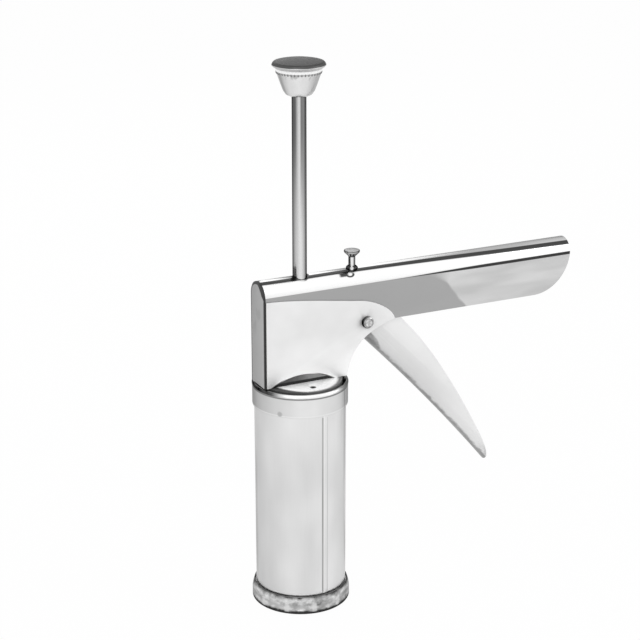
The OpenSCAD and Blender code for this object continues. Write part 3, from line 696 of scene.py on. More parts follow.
class PRESS_OT_barrel(bpy.types.Operator):
    """Makes the barrel tube with its seam strip, the rolled collar and the sleeve at the foot"""

    bl_idname = "press.barrel"
    bl_label = "Barrel"

    def execute(self, context):
        sheet = ring(BARREL_R - BARREL_T, BARREL_R, BARREL_LOW, BARREL_HIGH)
        tube = lathed("barrel_sheet", rounded(sheet, 0.2, closed=True), segments=192)
        both = bmesh.new()
        both.from_mesh(tube)
        both.from_mesh(self.strip())
        both.to_mesh(tube)
        both.free()
        soften(tube)
        settle(link("barrel_sheet", tube), "barrel_tube", barrel_finish_and_light())
        collar = link("rolled_collar", self.collar())
        settle(collar, "barrel_collar", collar_finish_and_light())
        low, high = ends("thread_ring", "z")
        sleeve = ring(BARREL_R + GAP, ends("thread_ring", "x")[1], low, high)
        sleeve = rounded(sleeve, 0.1, closed=True)
        turned("thread_ring", "foot_sleeve", satin("sleeve_steel", 0.6), sleeve, segments=160)
        return {"FINISHED"}

    def collar(self):
        """Band and rolled rim, with the rim's inner half cut away at the two bayonet entries."""
        roll = [
            (BARREL_R + BEAD_R * math.cos(math.radians(a)), BEAD_Z + BEAD_R * math.sin(math.radians(a)))
            for a in range(-31, 271, 10)
        ]
        inner, outer = BARREL_R + GAP, BARREL_R + GAP + COLLAR_T
        band = [(inner, COLLAR_LOW), (outer, COLLAR_LOW)]
        band = [(inner, BEAD_Z - 1.45), *band, (outer, BEAD_Z - 0.75)]
        made = lathed("rolled_collar", filled(rounded(band, 0.25), 2.0) + roll, segments=288)
        for vertex in made.vertices:
            turn = math.degrees(math.atan2(vertex.co.y, vertex.co.x))
            off = min(abs((turn - entry + 180) % 360 - 180) for entry in ENTRIES)
            if off < ENTRY_HALF and vertex.co.xy.length < inner * MM:
                vertex.co.xy = vertex.co.xy.normalized() * inner * MM
        return made

    def strip(self):
        """The lapped seam: a thin strip with rounded long edges, let into the tube."""
        edit = bmesh.new()
        let_in, bevel = -0.3, 0.22
        shoulder = SEAM_LIFT * 0.55
        half_section = [(SEAM_HALF - bevel, SEAM_LIFT), (SEAM_HALF, shoulder), (SEAM_HALF, let_in)]
        section = [(-across, out) for across, out in reversed(half_section)] + half_section
        rows = []
        for z in (SEAM_LOW, SEAM_LOW + 0.2, SEAM_HIGH - 0.2, SEAM_HIGH):
            top = SEAM_LIFT - (0.12 if z in (SEAM_LOW, SEAM_HIGH) else 0)
            spots = [(BARREL_R + min(out, top), SEAM_ANGLE + across / BARREL_R) for across, out in section]
            rows.append([edit.verts.new(on_circle(*spot, z)) for spot in spots])
        count = len(section)
        for low, high in zip(rows, rows[1:]):
            for k in range(count):
                n = (k + 1) % count
                edit.faces.new((low[k], low[n], high[n], high[k]))
        edit.faces.new(rows[0])
        edit.faces.new(list(reversed(rows[-1])))
        bmesh.ops.recalc_face_normals(edit, faces=edit.faces)
        return meshed("seam", edit)


class PRESS_OT_cap(bpy.types.Operator):
    """Makes the ring cap with its grip panels and the perforated die"""

    bl_idname = "press.cap"
    bl_label = "Ring cap and die"

    def execute(self, context):
        s = context.scene.press_repeats
        chamfer, shoulder = 0.3, 6.3
        outside = [(MOUTH_R, 0), (CAP_R - chamfer, 0), (CAP_R, chamfer), (CAP_R, shoulder)]
        rim = [(CAP_BORE_R + 0.4, CAP_H - 0.4), (CAP_BORE_R + 0.2, CAP_H), (CAP_BORE_R, CAP_H)]
        inside = [(CAP_BORE_R, CAP_LIP), (MOUTH_R, CAP_LIP)]
        profile = rounded(outside + rim + inside, 0.35, closed=True)
        profile = filled(profile + profile[:1], 0.45)[:-1]
        cap = self.presser().run(
            "grip_ring", cap_finish_and_light(), base=lathed("grip_ring", profile, segments=352),
            panels=s.cap_panels, phase=CAP_PHASE, flat=CAP_R - s.panel_depth / MM,
            low=2.5, high=7.2, soft=0.9,
        )
        soften(cap.data, 25)
        settle(cap, "ring_cap")
        die = self.piercer().run(
            "pierced_die", satin("die_steel", 0.55, 0.28), radius=ends("die_disc", "x")[1],
            thick=DIE_HIGH - DIE_LOW, lift=(DIE_LOW + DIE_HIGH) / 2,
            pitch=s.die_pitch / MM, hole=DIE_HOLE_R,
        )
        soften(die.data, 30)
        settle(die, "die_disc")
        return {"FINISHED"}

    def presser(self):
        """Presses flat panels into the outside of a turned ring."""
        m = Maker("grip_panels", "flat low high soft", panels="number", phase="angle")
        x, y, z = m.position()
        radius = length(x, y)
        step = TURN / m.panels
        turn = (y.math("ARCTAN2", y, x) - m.phase) / step
        across = (turn.math("FRACT", turn) - 0.5) * step
        flat = m.flat / across.math("COSINE", across)
        rise = (z - m.low).spread(0 - m.soft, m.soft, 0, 1)
        fall = (m.high - z).spread(0 - m.soft, m.soft, 0, 1)
        share = radius.toward(radius.least(flat), rise * fall) / radius
        return m.finish_with(m.placed(m.base, m.vector(x * share, y * share, z)))

    def piercer(self):
        """A disc with rings of holes, six more on each ring."""
        m = Maker("pierced_disc", "radius thick lift pitch hole")
        disc = m.bar(160, m.radius, m.thick)
        punch = m.bar(24, m.hole, m.thick * 3)
        middle = m.node("GeometryNodeMeshLine", {"Count": 1})
        rings = [m.circle(6 * k, m.pitch * k) for k in (1, 2, 3)]
        punches = m.at_points(m.joined(middle, *rings), punch)
        real = m.node("GeometryNodeRealizeInstances", {0: punches})
        how = {"operation": "DIFFERENCE", "solver": "EXACT"}
        cut = m.node("GeometryNodeMeshBoolean", {0: disc, 1: real}, **how)
        return m.finish_with(m.raised(cut, m.lift))


class PRESS_OT_head(bpy.types.Operator):
    """Makes the lid, the bracket with its rivets, the folded head sheet and the handle channel"""

    bl_idname = "press.head"
    bl_label = "Head and handle"

    def execute(self, context):
        dress("lid_plate", "lid_sheet", lid_finish_and_light(), width=0.25)
        bore, neck, flange = ROD_R + GAP, 5.4, ends("lid_bush", "x")[1]
        below = [(bore, BUSH_LOW), (neck, BUSH_LOW), (neck, LID_TOP)]
        above = [(flange, LID_TOP), (flange, BUSH_HIGH), (bore, BUSH_HIGH)]
        turned("lid_bush", "guide_bush", brass(), rounded(below + above, 0.25, closed=True))
        dress("head_bracket", "riveted_bracket", bracket_finish_and_light())
        rivets = self.riveter().run(
            "rivet_heads", satin("rivet_steel", 0.6, 0.3), spread_x=30, spread_y=6.4,
            head=2.4, dome=RIVET_DOME, shank=1.5,
            low=RIVET_LOW + RIVET_DOME, high=RIVET_HIGH - RIVET_DOME,
        )
        settle(rivets, "bracket_rivets")
        dress("head_shell", "folded_head", head_finish_and_light(), width=0.3)
        dress("handle_channel", "handle_rail", handle_finish_and_light(), width=0.3)
        for node in ("guide_bridge", "lock_hanger"):
            paint(node, dark_plate("inner_plate"))
        return {"FINISHED"}

    def riveter(self):
        """Four rivets on a rectangle, each with a domed head at both ends."""
        m = Maker("rivets", "spread_x spread_y head dome shank low high")
        spread = {"Size X": m.spread_x, "Size Y": m.spread_y}
        two_by_two = {"Vertices X": 2, "Vertices Y": 2}
        grid = m.node("GeometryNodeMeshGrid", {**spread, **two_by_two})
        dome = m.ball(28, 12, m.head, m.head, m.dome)
        shank = m.bar(28, m.shank, m.high - m.low)
        one = m.joined(
            m.raised(dome, m.low), m.raised(dome, m.high), m.raised(shank, (m.low + m.high) / 2)
        )
        return m.finish_with(m.at_points(grid, one))


class PRESS_OT_trigger(bpy.types.Operator):
    """Makes the trigger, its pivot pin with washer and clip, and the push pin"""

    bl_idname = "press.trigger"
    bl_label = "Trigger"

    def execute(self, context):
        plate = dark_plate("inner_plate")
        place = {"centre": (PIVOT_X, PIVOT_Z), "along": "Y"}
        dress("trigger", "squeeze_trigger", trigger_finish_and_light(), width=0.25)
        turned("pivot_pin", "pivot_rivet", pivot_finish_and_light(), self.rivet(), **place)
        washer = ring(PIVOT_R + GAP, 4.6, -WASHER_HIGH, -WASHER_LOW)
        turned("pivot_washer", "pivot_shim", plate, rounded(washer, 0.15, closed=True), **place)
        dress("pivot_clip", "retaining_clip", plate, width=0.15)
        for node in ("trigger_bush", "push_pin"):
            paint(node, plate)
        return {"FINISHED"}

    def rivet(self):
        """The pivot's profile, from the crown of its head to its grooved end."""
        crown, groove_r = 11.7, 2.0
        head = [(0, 11.5), (2.2, crown), (PIVOT_HEAD_R, 11.2), (PIVOT_HEAD_R, HEAD_HALF)]
        shaft = [(PIVOT_R, HEAD_HALF), (PIVOT_R, -CLIP_LOW)]
        groove = [(groove_r, -CLIP_LOW), (groove_r, -CLIP_HIGH)]
        tail = [(PIVOT_R, -CLIP_HIGH), (PIVOT_R, -10.9), (2.1, -PIVOT_END), (0, -PIVOT_END)]
        return rounded(head + shaft + groove + tail, 0.3)


class PRESS_OT_works(bpy.types.Operator):
    """Makes the drive plate, the lock plate, both springs and the release pin with its eyelet"""

    bl_idname = "press.works"
    bl_label = "Inner works"

    def execute(self, context):
        plate, wire = dark_plate("inner_plate"), dark_plate("spring_wire", 0.3, 0.3)
        turns = context.scene.press_repeats.spring_turns
        coil = self.coiler()
        spring = self.spring(coil, "drive_spring", "return_spring", wire, 1.4, turns)
        settle(spring, "return_spring")
        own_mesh(spring)
        settle(self.spring(coil, "grip_spring", "lock_spring", wire, 1.0, 4), "lock_spring")
        dress("drive_plate", "drive_bar", plate, width=0.2)
        dress("lock_plate", "lock_bar", plate, width=0.2)
        turned("release_pin", "release_button", button_finish_and_light(), self.pin(), centre=(PIN_X, 0))
        paint("release_clip", plate)
        dress("pin_eyelet", "pin_collar", eyelet_finish_and_light())
        return {"FINISHED"}

    def pin(self):
        """The release pin's profile: a shank with a bevelled foot and a flared head."""
        bevel = 0.48
        foot = [(0, PIN_LOW), (1.5, PIN_LOW), (PIN_R, PIN_LOW + bevel)]
        flare = [(PIN_R, PIN_HIGH - 3.6), (PIN_HEAD_R, PIN_HIGH - 1.1)]
        top = [(PIN_HEAD_R, PIN_HIGH - 0.2), (PIN_HEAD_R - 0.4, PIN_HIGH), (0, PIN_HIGH)]
        return rounded(foot + flare + top, 0.35)

    def spring(self, coil, name, node, finish, wire, turns):
        """A spring as wide and as long as its solid."""
        low, high = ends(node, "z")
        radius = ends(node, "x")[1] - wire / 2
        sizes = {"radius": radius, "wire": wire, "low": low, "high": high}
        return coil.run(name, finish, turns=float(turns), **sizes)

    def coiler(self):
        """A coil spring with a dead turn at each end."""
        m = Maker("coil", "radius wire low high", turns="number")
        sizes = {"Resolution": 24, "Rotations": m.turns, "Height": 0.01}
        radii = {"Start Radius": m.radius, "End Radius": m.radius}
        spiral = m.node("GeometryNodeCurveSpiral", {**sizes, **radii})
        along = m.node("GeometryNodeSplineParameter") * m.turns
        dead = m.wire * 1.04
        live = (m.high - m.low - m.wire - 2 * dead) / (m.turns - 2)
        first = along.least(1.0) * dead
        middle = (along - 1).most(0.0).least(m.turns - 2) * live
        last = (along - (m.turns - 1)).most(0.0) * dead
        height = m.low + m.wire / 2 + first + middle + last
        x, y, _ = m.position()
        lifted = m.placed(spiral, m.vector(x, y, height))
        wire = {"Resolution": 12, "Radius": m.wire / 2}
        section = m.node("GeometryNodeCurvePrimitiveCircle", wire, mode="RADIUS")
        sweep = {"Curve": lifted, "Profile Curve": section, "Fill Caps": True}
        return m.finish_with(m.node("GeometryNodeCurveToMesh", sweep))


class PRESS_OT_plunger(bpy.types.Operator):
    """Makes the plunger rod, the piston with its seal and nut, and the crimped knob"""

    bl_idname = "press.plunger"
    bl_label = "Plunger and knob"

    def execute(self, context):
        neck_r = 3
        neck = [(0, ROD_LOW), (neck_r, ROD_LOW), (neck_r, PISTON_LOW)]
        bar = [(ROD_R, PISTON_LOW), (ROD_R, ROD_HIGH), (0, ROD_HIGH)]
        rod = filled(rounded(neck + bar, 0.3), 8)
        turned("plunger_rod", "plunger_bar", rod_finish_and_light(), rod)
        for node in ("piston_top", "piston_bottom"):
            paint(node, satin("piston_steel", 0.6, 0.26))
        dress("piston_seal", "seal_ring", plastic(), width=0.3)
        paint("piston_nut", satin("nut_steel", 0.6, 0.25))
        paint("knob_bush", dark_plate("inner_plate"))
        dress("knob_cup", "knob_bowl", cup_finish_and_light())
        cover = filled(rounded(self.cover(), 0.3), 1.0)
        turned("knob_top", "knob_cover", knob_finish(), cover, segments=128)
        # The crimp marks take dark steel as painted shade in the pressed marks.
        crimp = self.crimper().run(
            "crimp_marks", dark_plate("crimp_steel", 0.2, 0.4),
            teeth=context.scene.press_repeats.crimp_teeth,
            radius=CRIMP_R, lift=CRIMP_Z, thick=0.42, wide=0.42, tall=0.8,
        )
        settle(crimp, "knob_crimp")
        return {"FINISHED"}

    def cover(self):
        """The knob cover's profile: a turned-in brim, a shoulder and a low dome."""
        inset, bevel, brim = 0.25, 0.12, KNOB_LOW + 0.47
        edge = [(0, KNOB_LOW), (KNOB_R - inset, KNOB_LOW), (KNOB_R, KNOB_LOW + bevel)]
        edge += [(KNOB_R, brim - bevel), (KNOB_R - inset, KNOB_LOW + 0.75)]
        shoulder = [(KNOB_R - 0.55, KNOB_LOW + 1.4), (KNOB_R - 1.15, KNOB_LOW + 1.96)]
        centre = KNOB_HIGH - KNOB_CROWN
        radii = (12.5, 11, 9, 7, 5, 3, 1.5, 0)
        dome = [(r, centre + math.sqrt(KNOB_CROWN**2 - r * r)) for r in radii]
        return edge + shoulder + dome

    def crimper(self):
        """A ring of small pressed marks round the knob."""
        m = Maker("crimp", "radius lift thick wide tall", teeth="count")
        grain = m.ball(12, 8, m.thick, m.wide, m.tall)
        turn = m.node("GeometryNodeInputIndex") * TURN / m.teeth
        facing = m.vector(0.0, 0.0, turn)
        marks = m.at_points(m.circle(m.teeth, m.radius), grain, Rotation=facing)
        return m.finish_with(m.raised(marks, m.lift))


# Finishes of sheets, plates and small parts. The cached ones serve several pieces.


@cache
def satin(name, tone, rough=0.3):
    """Rolled stainless sheet with fine grain and soft clouds."""
    f = Finish(name)
    grain = f.noise(1400, 3)
    cloud = f.noise(38)
    speck = f.noise(900, 1)
    level = tone + cloud.swing(0.06) + grain.swing(0.06)
    gloss = rough + grain.swing(0.12) + cloud.swing(0.1)
    return f.close(level, gloss, grain * 0.15 + speck * 0.05, 0.2)


@cache
def dark_plate(name, tone=0.22, rough=0.42):
    """Plain plate and spring steel with a dull oiled skin; on the crimp marks its dark tone is painted
    shade.
    """
    f = Finish(name)
    cloud = f.noise(120, 3)
    grit = f.noise(1600)
    level = tone + cloud.swing(0.1) + grit.swing(0.05)
    return f.close(level, rough + cloud.swing(0.2), grit, 0.1)


def brass():
    f = Finish("turned_brass")
    lines = f.noise(1500, 2, (0.1, 0.1, 1))
    tones = {0: lines, 6: (0.55, 0.42, 0.18, 1), 7: (0.72, 0.6, 0.33, 1)}
    colour = f.node("ShaderNodeMix", tones, out=2, data_type="RGBA")
    return f.close(colour, 0.28 + lines * 0.1, lines, 0.02)


def plastic():
    f = Finish("seal_plastic")
    speck = f.noise(1200)
    tone = 0.8 + speck.swing(0.06)
    return f.close(tone, 0.5 + speck * 0.1, speck, 0.04, metal=0.0)


# Finishes of single pieces, with painted light and shade. A tone starts as the bare surface, then gets the
# painted highlights, reflections and shade that lie over it.


def barrel_finish_and_light():
    f = Finish("barrel_satin")
    brush = f.noise(900, 3, (1, 1, 0.06))
    cloud = f.noise(26, 2, (1, 1, 0.6))
    patch = f.noise(70, 1, (1, 1, 0.35))
    edge_shade_noise = f.noise(95, 1, (1, 1, 0.12))
    # Painted light and shade across the barrel: darker at its edges as the camera sees them, lighter in
    # the middle, shifting from left to right with height.
    place = f.sweep()
    tone = f.across(
        place,
        (-1, 0.56), (-0.9, 0.59), (-0.7, 0.67), (-0.5, 0.72), (-0.3, 0.77), (0, 0.79),
        (0.3, 0.8), (0.6, 0.8), (0.8, 0.75), (0.92, 0.67), (1, 0.58),
    )
    tone = tone + (0.5 - place) * f.z.spread(20, 110, 0.12, -0.06) + 0.015
    tone = tone + cloud.swing(0.32) + patch.swing(0.16) + brush.swing(0.03)
    # Painted shade in patches along the barrel's edges.
    edge = abs(place - 0.5).past(0.4, 0.06) * edge_shade_noise.past(0.55, 0.1)
    tone = tone - edge * 0.24
    # Painted shade along both edges of the seam strip and a painted highlight on it.
    from_seam = f.bearing() - SEAM_ANGLE
    dark = from_seam.near(-0.062, 0.014, 0.012) * (0.45 + patch * 0.6)
    light = from_seam.near(-0.025, 0.016, 0.014)
    thin = from_seam.near(0.056, 0.014, 0.012) * (0.3 + patch * 0.7)
    below_collar = f.z.before(COLLAR_LOW - 1.3, 0.6)
    # Painted highlight on the tube just above the ring cap.
    foot = f.z.before(CAP_H + 1.3, 0.8)
    tone = tone.toward(0.36, dark * below_collar).toward(0.9, light * 0.5)
    tone = tone.toward(0.4, thin * below_collar * 0.8).toward(0.95, foot * 0.6)
    gloss = 0.36 + brush.swing(0.1) + cloud.swing(0.1)
    return f.close(tone, gloss, brush * 0.1 + f.noise(45, 1) * 0.5, 0.2)


def collar_finish_and_light():
    f = Finish("collar_steel")
    radius = f.radius()
    cloud = f.noise(60)
    spots = f.noise(260)
    place = f.sweep()
    # Painted light and shade across the band, darker at its edges as the camera sees them.
    band = f.across(
        place,
        (-1, 0.46), (-0.9, 0.52), (-0.7, 0.6), (-0.5, 0.7), (-0.2, 0.74), (0, 0.82),
        (0.3, 0.84), (0.5, 0.78), (0.7, 0.72), (0.9, 0.66), (0.97, 0.52), (1, 0.46),
    )
    # Painted highlight along the rolled bead, fading to dark at its left.
    shine = f.across(
        place,
        (-1, 0.02), (-0.75, 0.03), (-0.58, 0.08), (-0.42, 0.55), (-0.24, 0.97), (0.6, 0.97),
        (0.75, 0.8), (0.88, 0.35), (1, 0.12),
    )
    outer = radius.past(BARREL_R + 0.45, 0.3)
    # Painted shade in the groove under the bead, on the rim's inner side and in the dent, and a painted
    # highlight line along the hem; the seam is a dark joint.
    bead = f.z.past(BEAD_Z - 0.55, 0.5) * outer
    groove = f.z.near(BEAD_Z - 1.05, 0.45, 0.5) * outer
    seam = f.bearing().near(COLLAR_SEAM, 0.010, 0.008) * f.z.before(BEAD_Z - 1.15, 0.4)
    inner = radius.before(BARREL_R + 0.35, 0.6)
    dent = length(*(at - spot for at, spot in zip((f.x, f.y, f.z), DENT))).before(1.4, 1.2)
    hem = f.z.near(COLLAR_LOW + 0.6, 0.4, 0.6)
    tone = (band + cloud.swing(0.14)).toward(0.95, hem * 0.5)
    tone = tone.toward(shine + spots.swing(0.2), bead).toward(0.2, groove * 0.9)
    tone = tone.toward(0.2, seam * 0.8).toward(0.5, dent).toward(0.1 + spots * 0.1, inner)
    return f.close(tone, 0.3 + cloud.swing(0.1), cloud - dent * 2, 0.04, glint=0.5)


def cap_finish_and_light():
    f = Finish("cap_steel")
    turn = (f.bearing() - CAP_PHASE) / (TURN / CAP_PANELS)
    side = abs(turn.math("FRACT", turn) - 0.5)
    number = turn.math("FLOOR", turn)
    shade = f.node("ShaderNodeTexWhiteNoise", {"W": number}, noise_dimensions="1D")
    cloud = f.noise(190, 3, (1, 1, 1.6), 0.6)
    wave = f.noise(420)
    drift = f.noise(60, 1)
    # Painted light and shade by height: a dark bottom edge, pale bands and a dark line along the top edge.
    level = f.ramp(
        f.z / CAP_H + drift.swing(0.08),
        (0, 0.03), (0.12, 0.05), (0.22, 0.48), (0.36, 0.7), (0.52, 0.54),
        (0.7, 0.66), (0.8, 0.54), (0.9, 0.33), (0.95, 0.14), (1, 0.1),
    )
    middle = f.z.past(1.4, 0.6) * f.z.before(CAP_H - 0.5, 0.6)
    mottle = cloud.swing(1.3) + shade.swing(0.16) + wave.swing(0.2)
    # Painted highlight along the panel edges and painted shade in the middle of each pressed panel.
    ridge = side.past(0.42, 0.08) * middle * f.z.before(6.6, 2)
    pit = side.spread(0.12, 0.42, 1, 0) * f.z.near(4.4, 0.9, 1.6)
    foot = f.z.before(0.2, 0.2)
    tone = (level + mottle * middle).toward(0.85, ridge * 0.6).toward(0.38, pit * 0.6)
    tone = tone.most(0.04).least(0.78).toward(0.55 + cloud.swing(0.2), foot)
    return f.close(tone, 0.26 + cloud * 0.1, wave, 0.03, glint=0.5)


def lid_finish_and_light():
    f = Finish("lid_steel")
    brush = f.noise(900, 3, (0.1, 1, 1))
    # Painted shade toward the rim, reaching farther in on the left, and round the vent hole.
    to_left, to_right = (-6 - f.x).most(0.0) * 0.26, (f.x - 8).most(0.0) * 0.12
    edge = (f.radius() + to_left + to_right).spread(21.4, 23.9, 0, 0.96)
    shade = f.x.spread(-14, 2, 0.01, 0.09)
    vent = f.radius(0.0, VENT_Y).before(1.7, 0.8)
    tone = (0.97 + brush.swing(0.04)).toward(shade, edge).toward(0.05, vent)
    return f.close(tone, 0.5 + brush.swing(0.1), brush, 0.02, metal=0.2)


def bracket_finish_and_light():
    f = Finish("bracket_steel")
    cloud = f.noise(90)
    grit = f.noise(900)
    # Painted shade: darker toward the left, and a painted shadow along the foot where the bracket meets
    # the lid.
    plate = f.x.spread(-16, 16, 0.1, 0.34) + cloud.swing(0.12) + grit.swing(0.04)
    tone = plate.toward(0.03, f.z.before(LID_TOP + 0.6, 0.4) * 0.95)
    return f.close(tone, 0.4 + cloud.swing(0.1), grit, 0.03, glint=0.4)


def head_finish_and_light():
    f = Finish("head_satin")
    brush = f.noise(900, 3, (0.08, 1, 1))
    cloud = f.noise(45)
    patch_noise = f.noise(110, 2, (1, 1, 0.5))
    front = f.x.before(FRONT_X, 0.3)
    # Painted dark reflection line along the front plate's folded edge.
    rise = (f.z - HEAD_Z).most(0.0)
    crown = length(f.y, rise) + (rise - 5).most(0.0) * 0.3
    lean = rise * 0.9 - f.y - rise * (8.4 - rise).most(0.0) * 0.075
    shoulder = (lean + (rise * 0.9).least(1.8)).past(8.1, 0.6)
    fold = crown.past(7.9, 0.5).most(shoulder) * f.x.before(FRONT_X + 0.2, 0.4)
    # Painted light: the cheeks are brighter toward the bottom, and the front plate is painted darker as a
    # reflection, darker still toward its far side. It has random darker patches up top and painted shade
    # along its far edge.
    cheek = f.z.spread(138, 172, 0.97, 0.8) + cloud.swing(0.2)
    plate = f.y.spread(-7.5, 9, 0.46, 0.38) + cloud.swing(0.05)
    patch = patch_noise.past(0.64, 0.06) * f.z.past(165, 10) * front
    far_side = f.y.past(8.5, 0.6) * front
    tone = cheek.toward(plate, front).toward(0.25, (patch * 0.25).most(far_side * 0.7))
    tone = tone.toward(0.05, fold)
    # Painted shadow along the edge of the arch cut-out, at its two ends.
    arch_r = (ARCH_W**2 / 4 + ARCH_H**2) / (2 * ARCH_H)
    arch_z = HEAD_LOW + ARCH_H - arch_r
    from_arch = length(f.x - ARCH_X, f.z - arch_z) - arch_r
    tips = f.x.past(6, 6) + f.x.before(-14.5, 5)
    tone = tone.toward(0.1, from_arch.before(0.6, 0.6) * tips * (1 - front))
    tone = tone + brush.swing(0.02)
    gloss = 0.5 + brush.swing(0.1)
    return f.close(tone, gloss, brush, 0.02, metal=0.55 + front * 0.4)


def handle_finish_and_light():
    f = Finish("handle_polish")
    brush = f.noise(900, 3, (0.05, 1, 1))
    cloud = f.noise(30, 2, (0.5, 1, 1))
    streak = f.noise(55, 2, (0.35, 1, 1.6))
    wobble = f.noise(90, 1)
    # Painted reflection on the flank: darker left of a slanting boundary, lighter with streaks right of
    # it.
    side = f.z.before(ROOF_Z + 0.25, 0.5)
    step = f.x - 90.1 - (180.6 - f.z) * 0.76 + wobble.swing(4)
    light = step.past(0, 2.2 + (f.z - 181).most(0.0) * 3.0)
    flank = (0.41 + cloud.swing(0.06)).toward(0.64 + streak.swing(0.5), light)
    # Painted reflection on the rounded roof: a white band, greyer beyond it, and a dark line across it.
    arch = f.y.math("ARCTAN2", f.y, f.z - ROOF_Z)
    off = arch + 0.375 + 0.002 * f.x
    far = f.x.spread(20, 60, 0.64, 0.52) + f.x.spread(90, 150, 0, 0.12)
    roof = 0.99 + (far + streak.swing(0.3) - 0.99) * off.past(0.1, 0.07)
    sway = f.x.spread(-20, 30, -0.06, 0.05) - f.x.spread(50, 150, 0, 0.07)
    band = off.near(sway, 0.18, 0.08)
    # Painted reflection ring and smear on the roof by the rod.
    dx, da = (f.x - ROOF_REFLECTION_X) / 2.1, (arch - ROOF_REFLECTION_ARCH) / 0.19
    gap = da.past(0.3, 0.6) * dx.past(-0.2, 0.6)
    mark = length(dx, da).near(1.0, 0.32, 0.3) * (1 - gap * 0.8)
    reflection_smear = da.near(0.1, 0.8, 0.6) * f.x.near(ROOF_REFLECTION_X - 3.7, 2.6, 2)
    # Painted shade round the foot of the rod and of the release pin and at the nose, and a painted dark
    # reflection line where the roof meets the flank.
    rod_foot = f.radius().before(5.3, 0.6)
    rod_foot = rod_foot * abs(f.sweep() - 0.5).spread(0.12, 0.26, 0.3, 1)
    pin_foot = f.radius(PIN_X).before(3.6, 0.4)
    pin_foot = pin_foot * abs(f.sweep(PIN_X) - 0.5).spread(0.12, 0.26, 0.2, 1)
    nose = f.x.before(FRONT_X + 1.2, 0.4) * f.y.past(0.0, 2)
    line = f.z.near(ROOF_Z + 0.1, f.x.spread(40, 120, -0.1, 0.9), 0.4)
    tone = roof.toward(0.07, band).toward(0.08, mark.most(reflection_smear)).toward(flank, side)
    tone = tone.toward(0.05, line)
    tone = tone.toward(0.1, rod_foot.most(nose).most(pin_foot) * (1 - side))
    return f.close(tone, 0.22 + brush.swing(0.08), brush, 0.02, glint=0.45)


def trigger_finish_and_light():
    f = Finish("trigger_steel")
    brush = f.noise(900, 3, (0.3, 1, 0.3))
    cloud = f.noise(45)
    spot = f.noise(230, 3, rough=0.65)
    wobble = f.noise(160)
    dx, dz = f.x - PIVOT_X, f.z - PIVOT_Z
    cosine, sine = math.cos(TRIGGER_LEAN), math.sin(TRIGGER_LEAN)
    down = dx * -sine - dz * cosine
    along = dx * cosine - dz * sine
    share = (along - TRIGGER_MIDDLE) / TRIGGER_REACH
    # Painted shade on the web seen edge-on along the lower side, wider near the pivot, and painted shade
    # in spots near the tip.
    inward = 7.2 - 1.7 * (1 - share * share) - down
    root = along.before(16, 22)
    strip = inward.before(1.4 + wobble.swing(3) + root * 3.6, 1.2)
    tip = along.past(124, 10) * down.past(-1, 4) * spot.past(0.5, 0.1)
    shade = inward.before(11, 12) * along.before(75, 50)
    blade = 0.82 + cloud.swing(0.09) - shade * 0.09
    web = 0.16 + inward.spread(0.2, 1.8, 0, 0.26) * (1 - root * 0.8)
    web = web + spot.spread(0.35, 0.7, 0, 0.16)
    web = web.toward(0.5 + cloud.swing(0.2), f.y.past(-3, 5))
    tone = blade.toward(web, strip.most(tip * 0.7))
    gloss = 0.42 + brush.swing(0.1)
    return f.close(tone, gloss, brush, 0.02, metal=0.8, glint=0.6)


def pivot_finish_and_light():
    f = Finish("pivot_steel")
    spot = f.noise(700)
    dx = f.x - PIVOT_X
    reach = length(dx, f.z - PIVOT_Z)
    # Painted shade on the left side of the head and a painted dark ring on its face.
    face = f.y.before(-11.4, 0.3) * (1 - reach.past(3.1, 0.3) * 0.6)
    disc = 0.6 + spot.swing(0.9) - reach.near(2.4, 0.3, 0.4) * 0.3
    tone = dx.spread(-PIVOT_HEAD_R, 3, 0.03, 0.5).toward(disc, face)
    return f.close(tone, 0.24, spot, 0.03, glint=0.3)


def button_finish_and_light():
    f = Finish("button_steel")
    spot = f.noise(400)
    place = f.sweep(PIN_X)
    # Painted reflections across the shank and the head, and painted shade at the face's rim and at the
    # neck.
    shank = f.across(
        place,
        (-1, 0.03), (-0.6, 0.06), (-0.35, 0.7), (0, 0.95),
        (0.3, 0.8), (0.5, 0.4), (0.7, 0.18), (1, 0.12),
    )
    head = f.across(
        place, (-1, 0.05), (-0.8, 0.2), (-0.5, 0.5), (0, 0.5), (0.5, 0.42), (0.8, 0.2), (1, 0.05)
    )
    flare = f.z.past(PIN_HIGH - 3.2, 0.5)
    top = f.z.past(PIN_HIGH - 0.35, 0.2)
    face = (0.5 + spot.swing(0.4)).toward(0.1, f.radius(PIN_X).past(4.0, 0.3))
    neck = f.z.near(PIN_HIGH - 3.6, 0.3, 0.5)
    tone = shank.toward(head, flare).toward(face, top).toward(0.05, neck * 0.8)
    return f.close(tone, 0.24, spot, 0.02, glint=0.3)


def eyelet_finish_and_light():
    f = Finish("eyelet_steel")
    spot = f.noise(600)
    # Painted reflection: a bright band between dark sides.
    tone = f.across(
        f.sweep(PIN_X),
        (-1, 0.03), (-0.4, 0.04), (-0.28, 0.4), (-0.1, 0.85),
        (0.15, 0.8), (0.3, 0.3), (0.4, 0.04), (1, 0.03),
    )
    return f.close(tone + spot * 0.04, 0.35, spot, 0.02, glint=0.3)


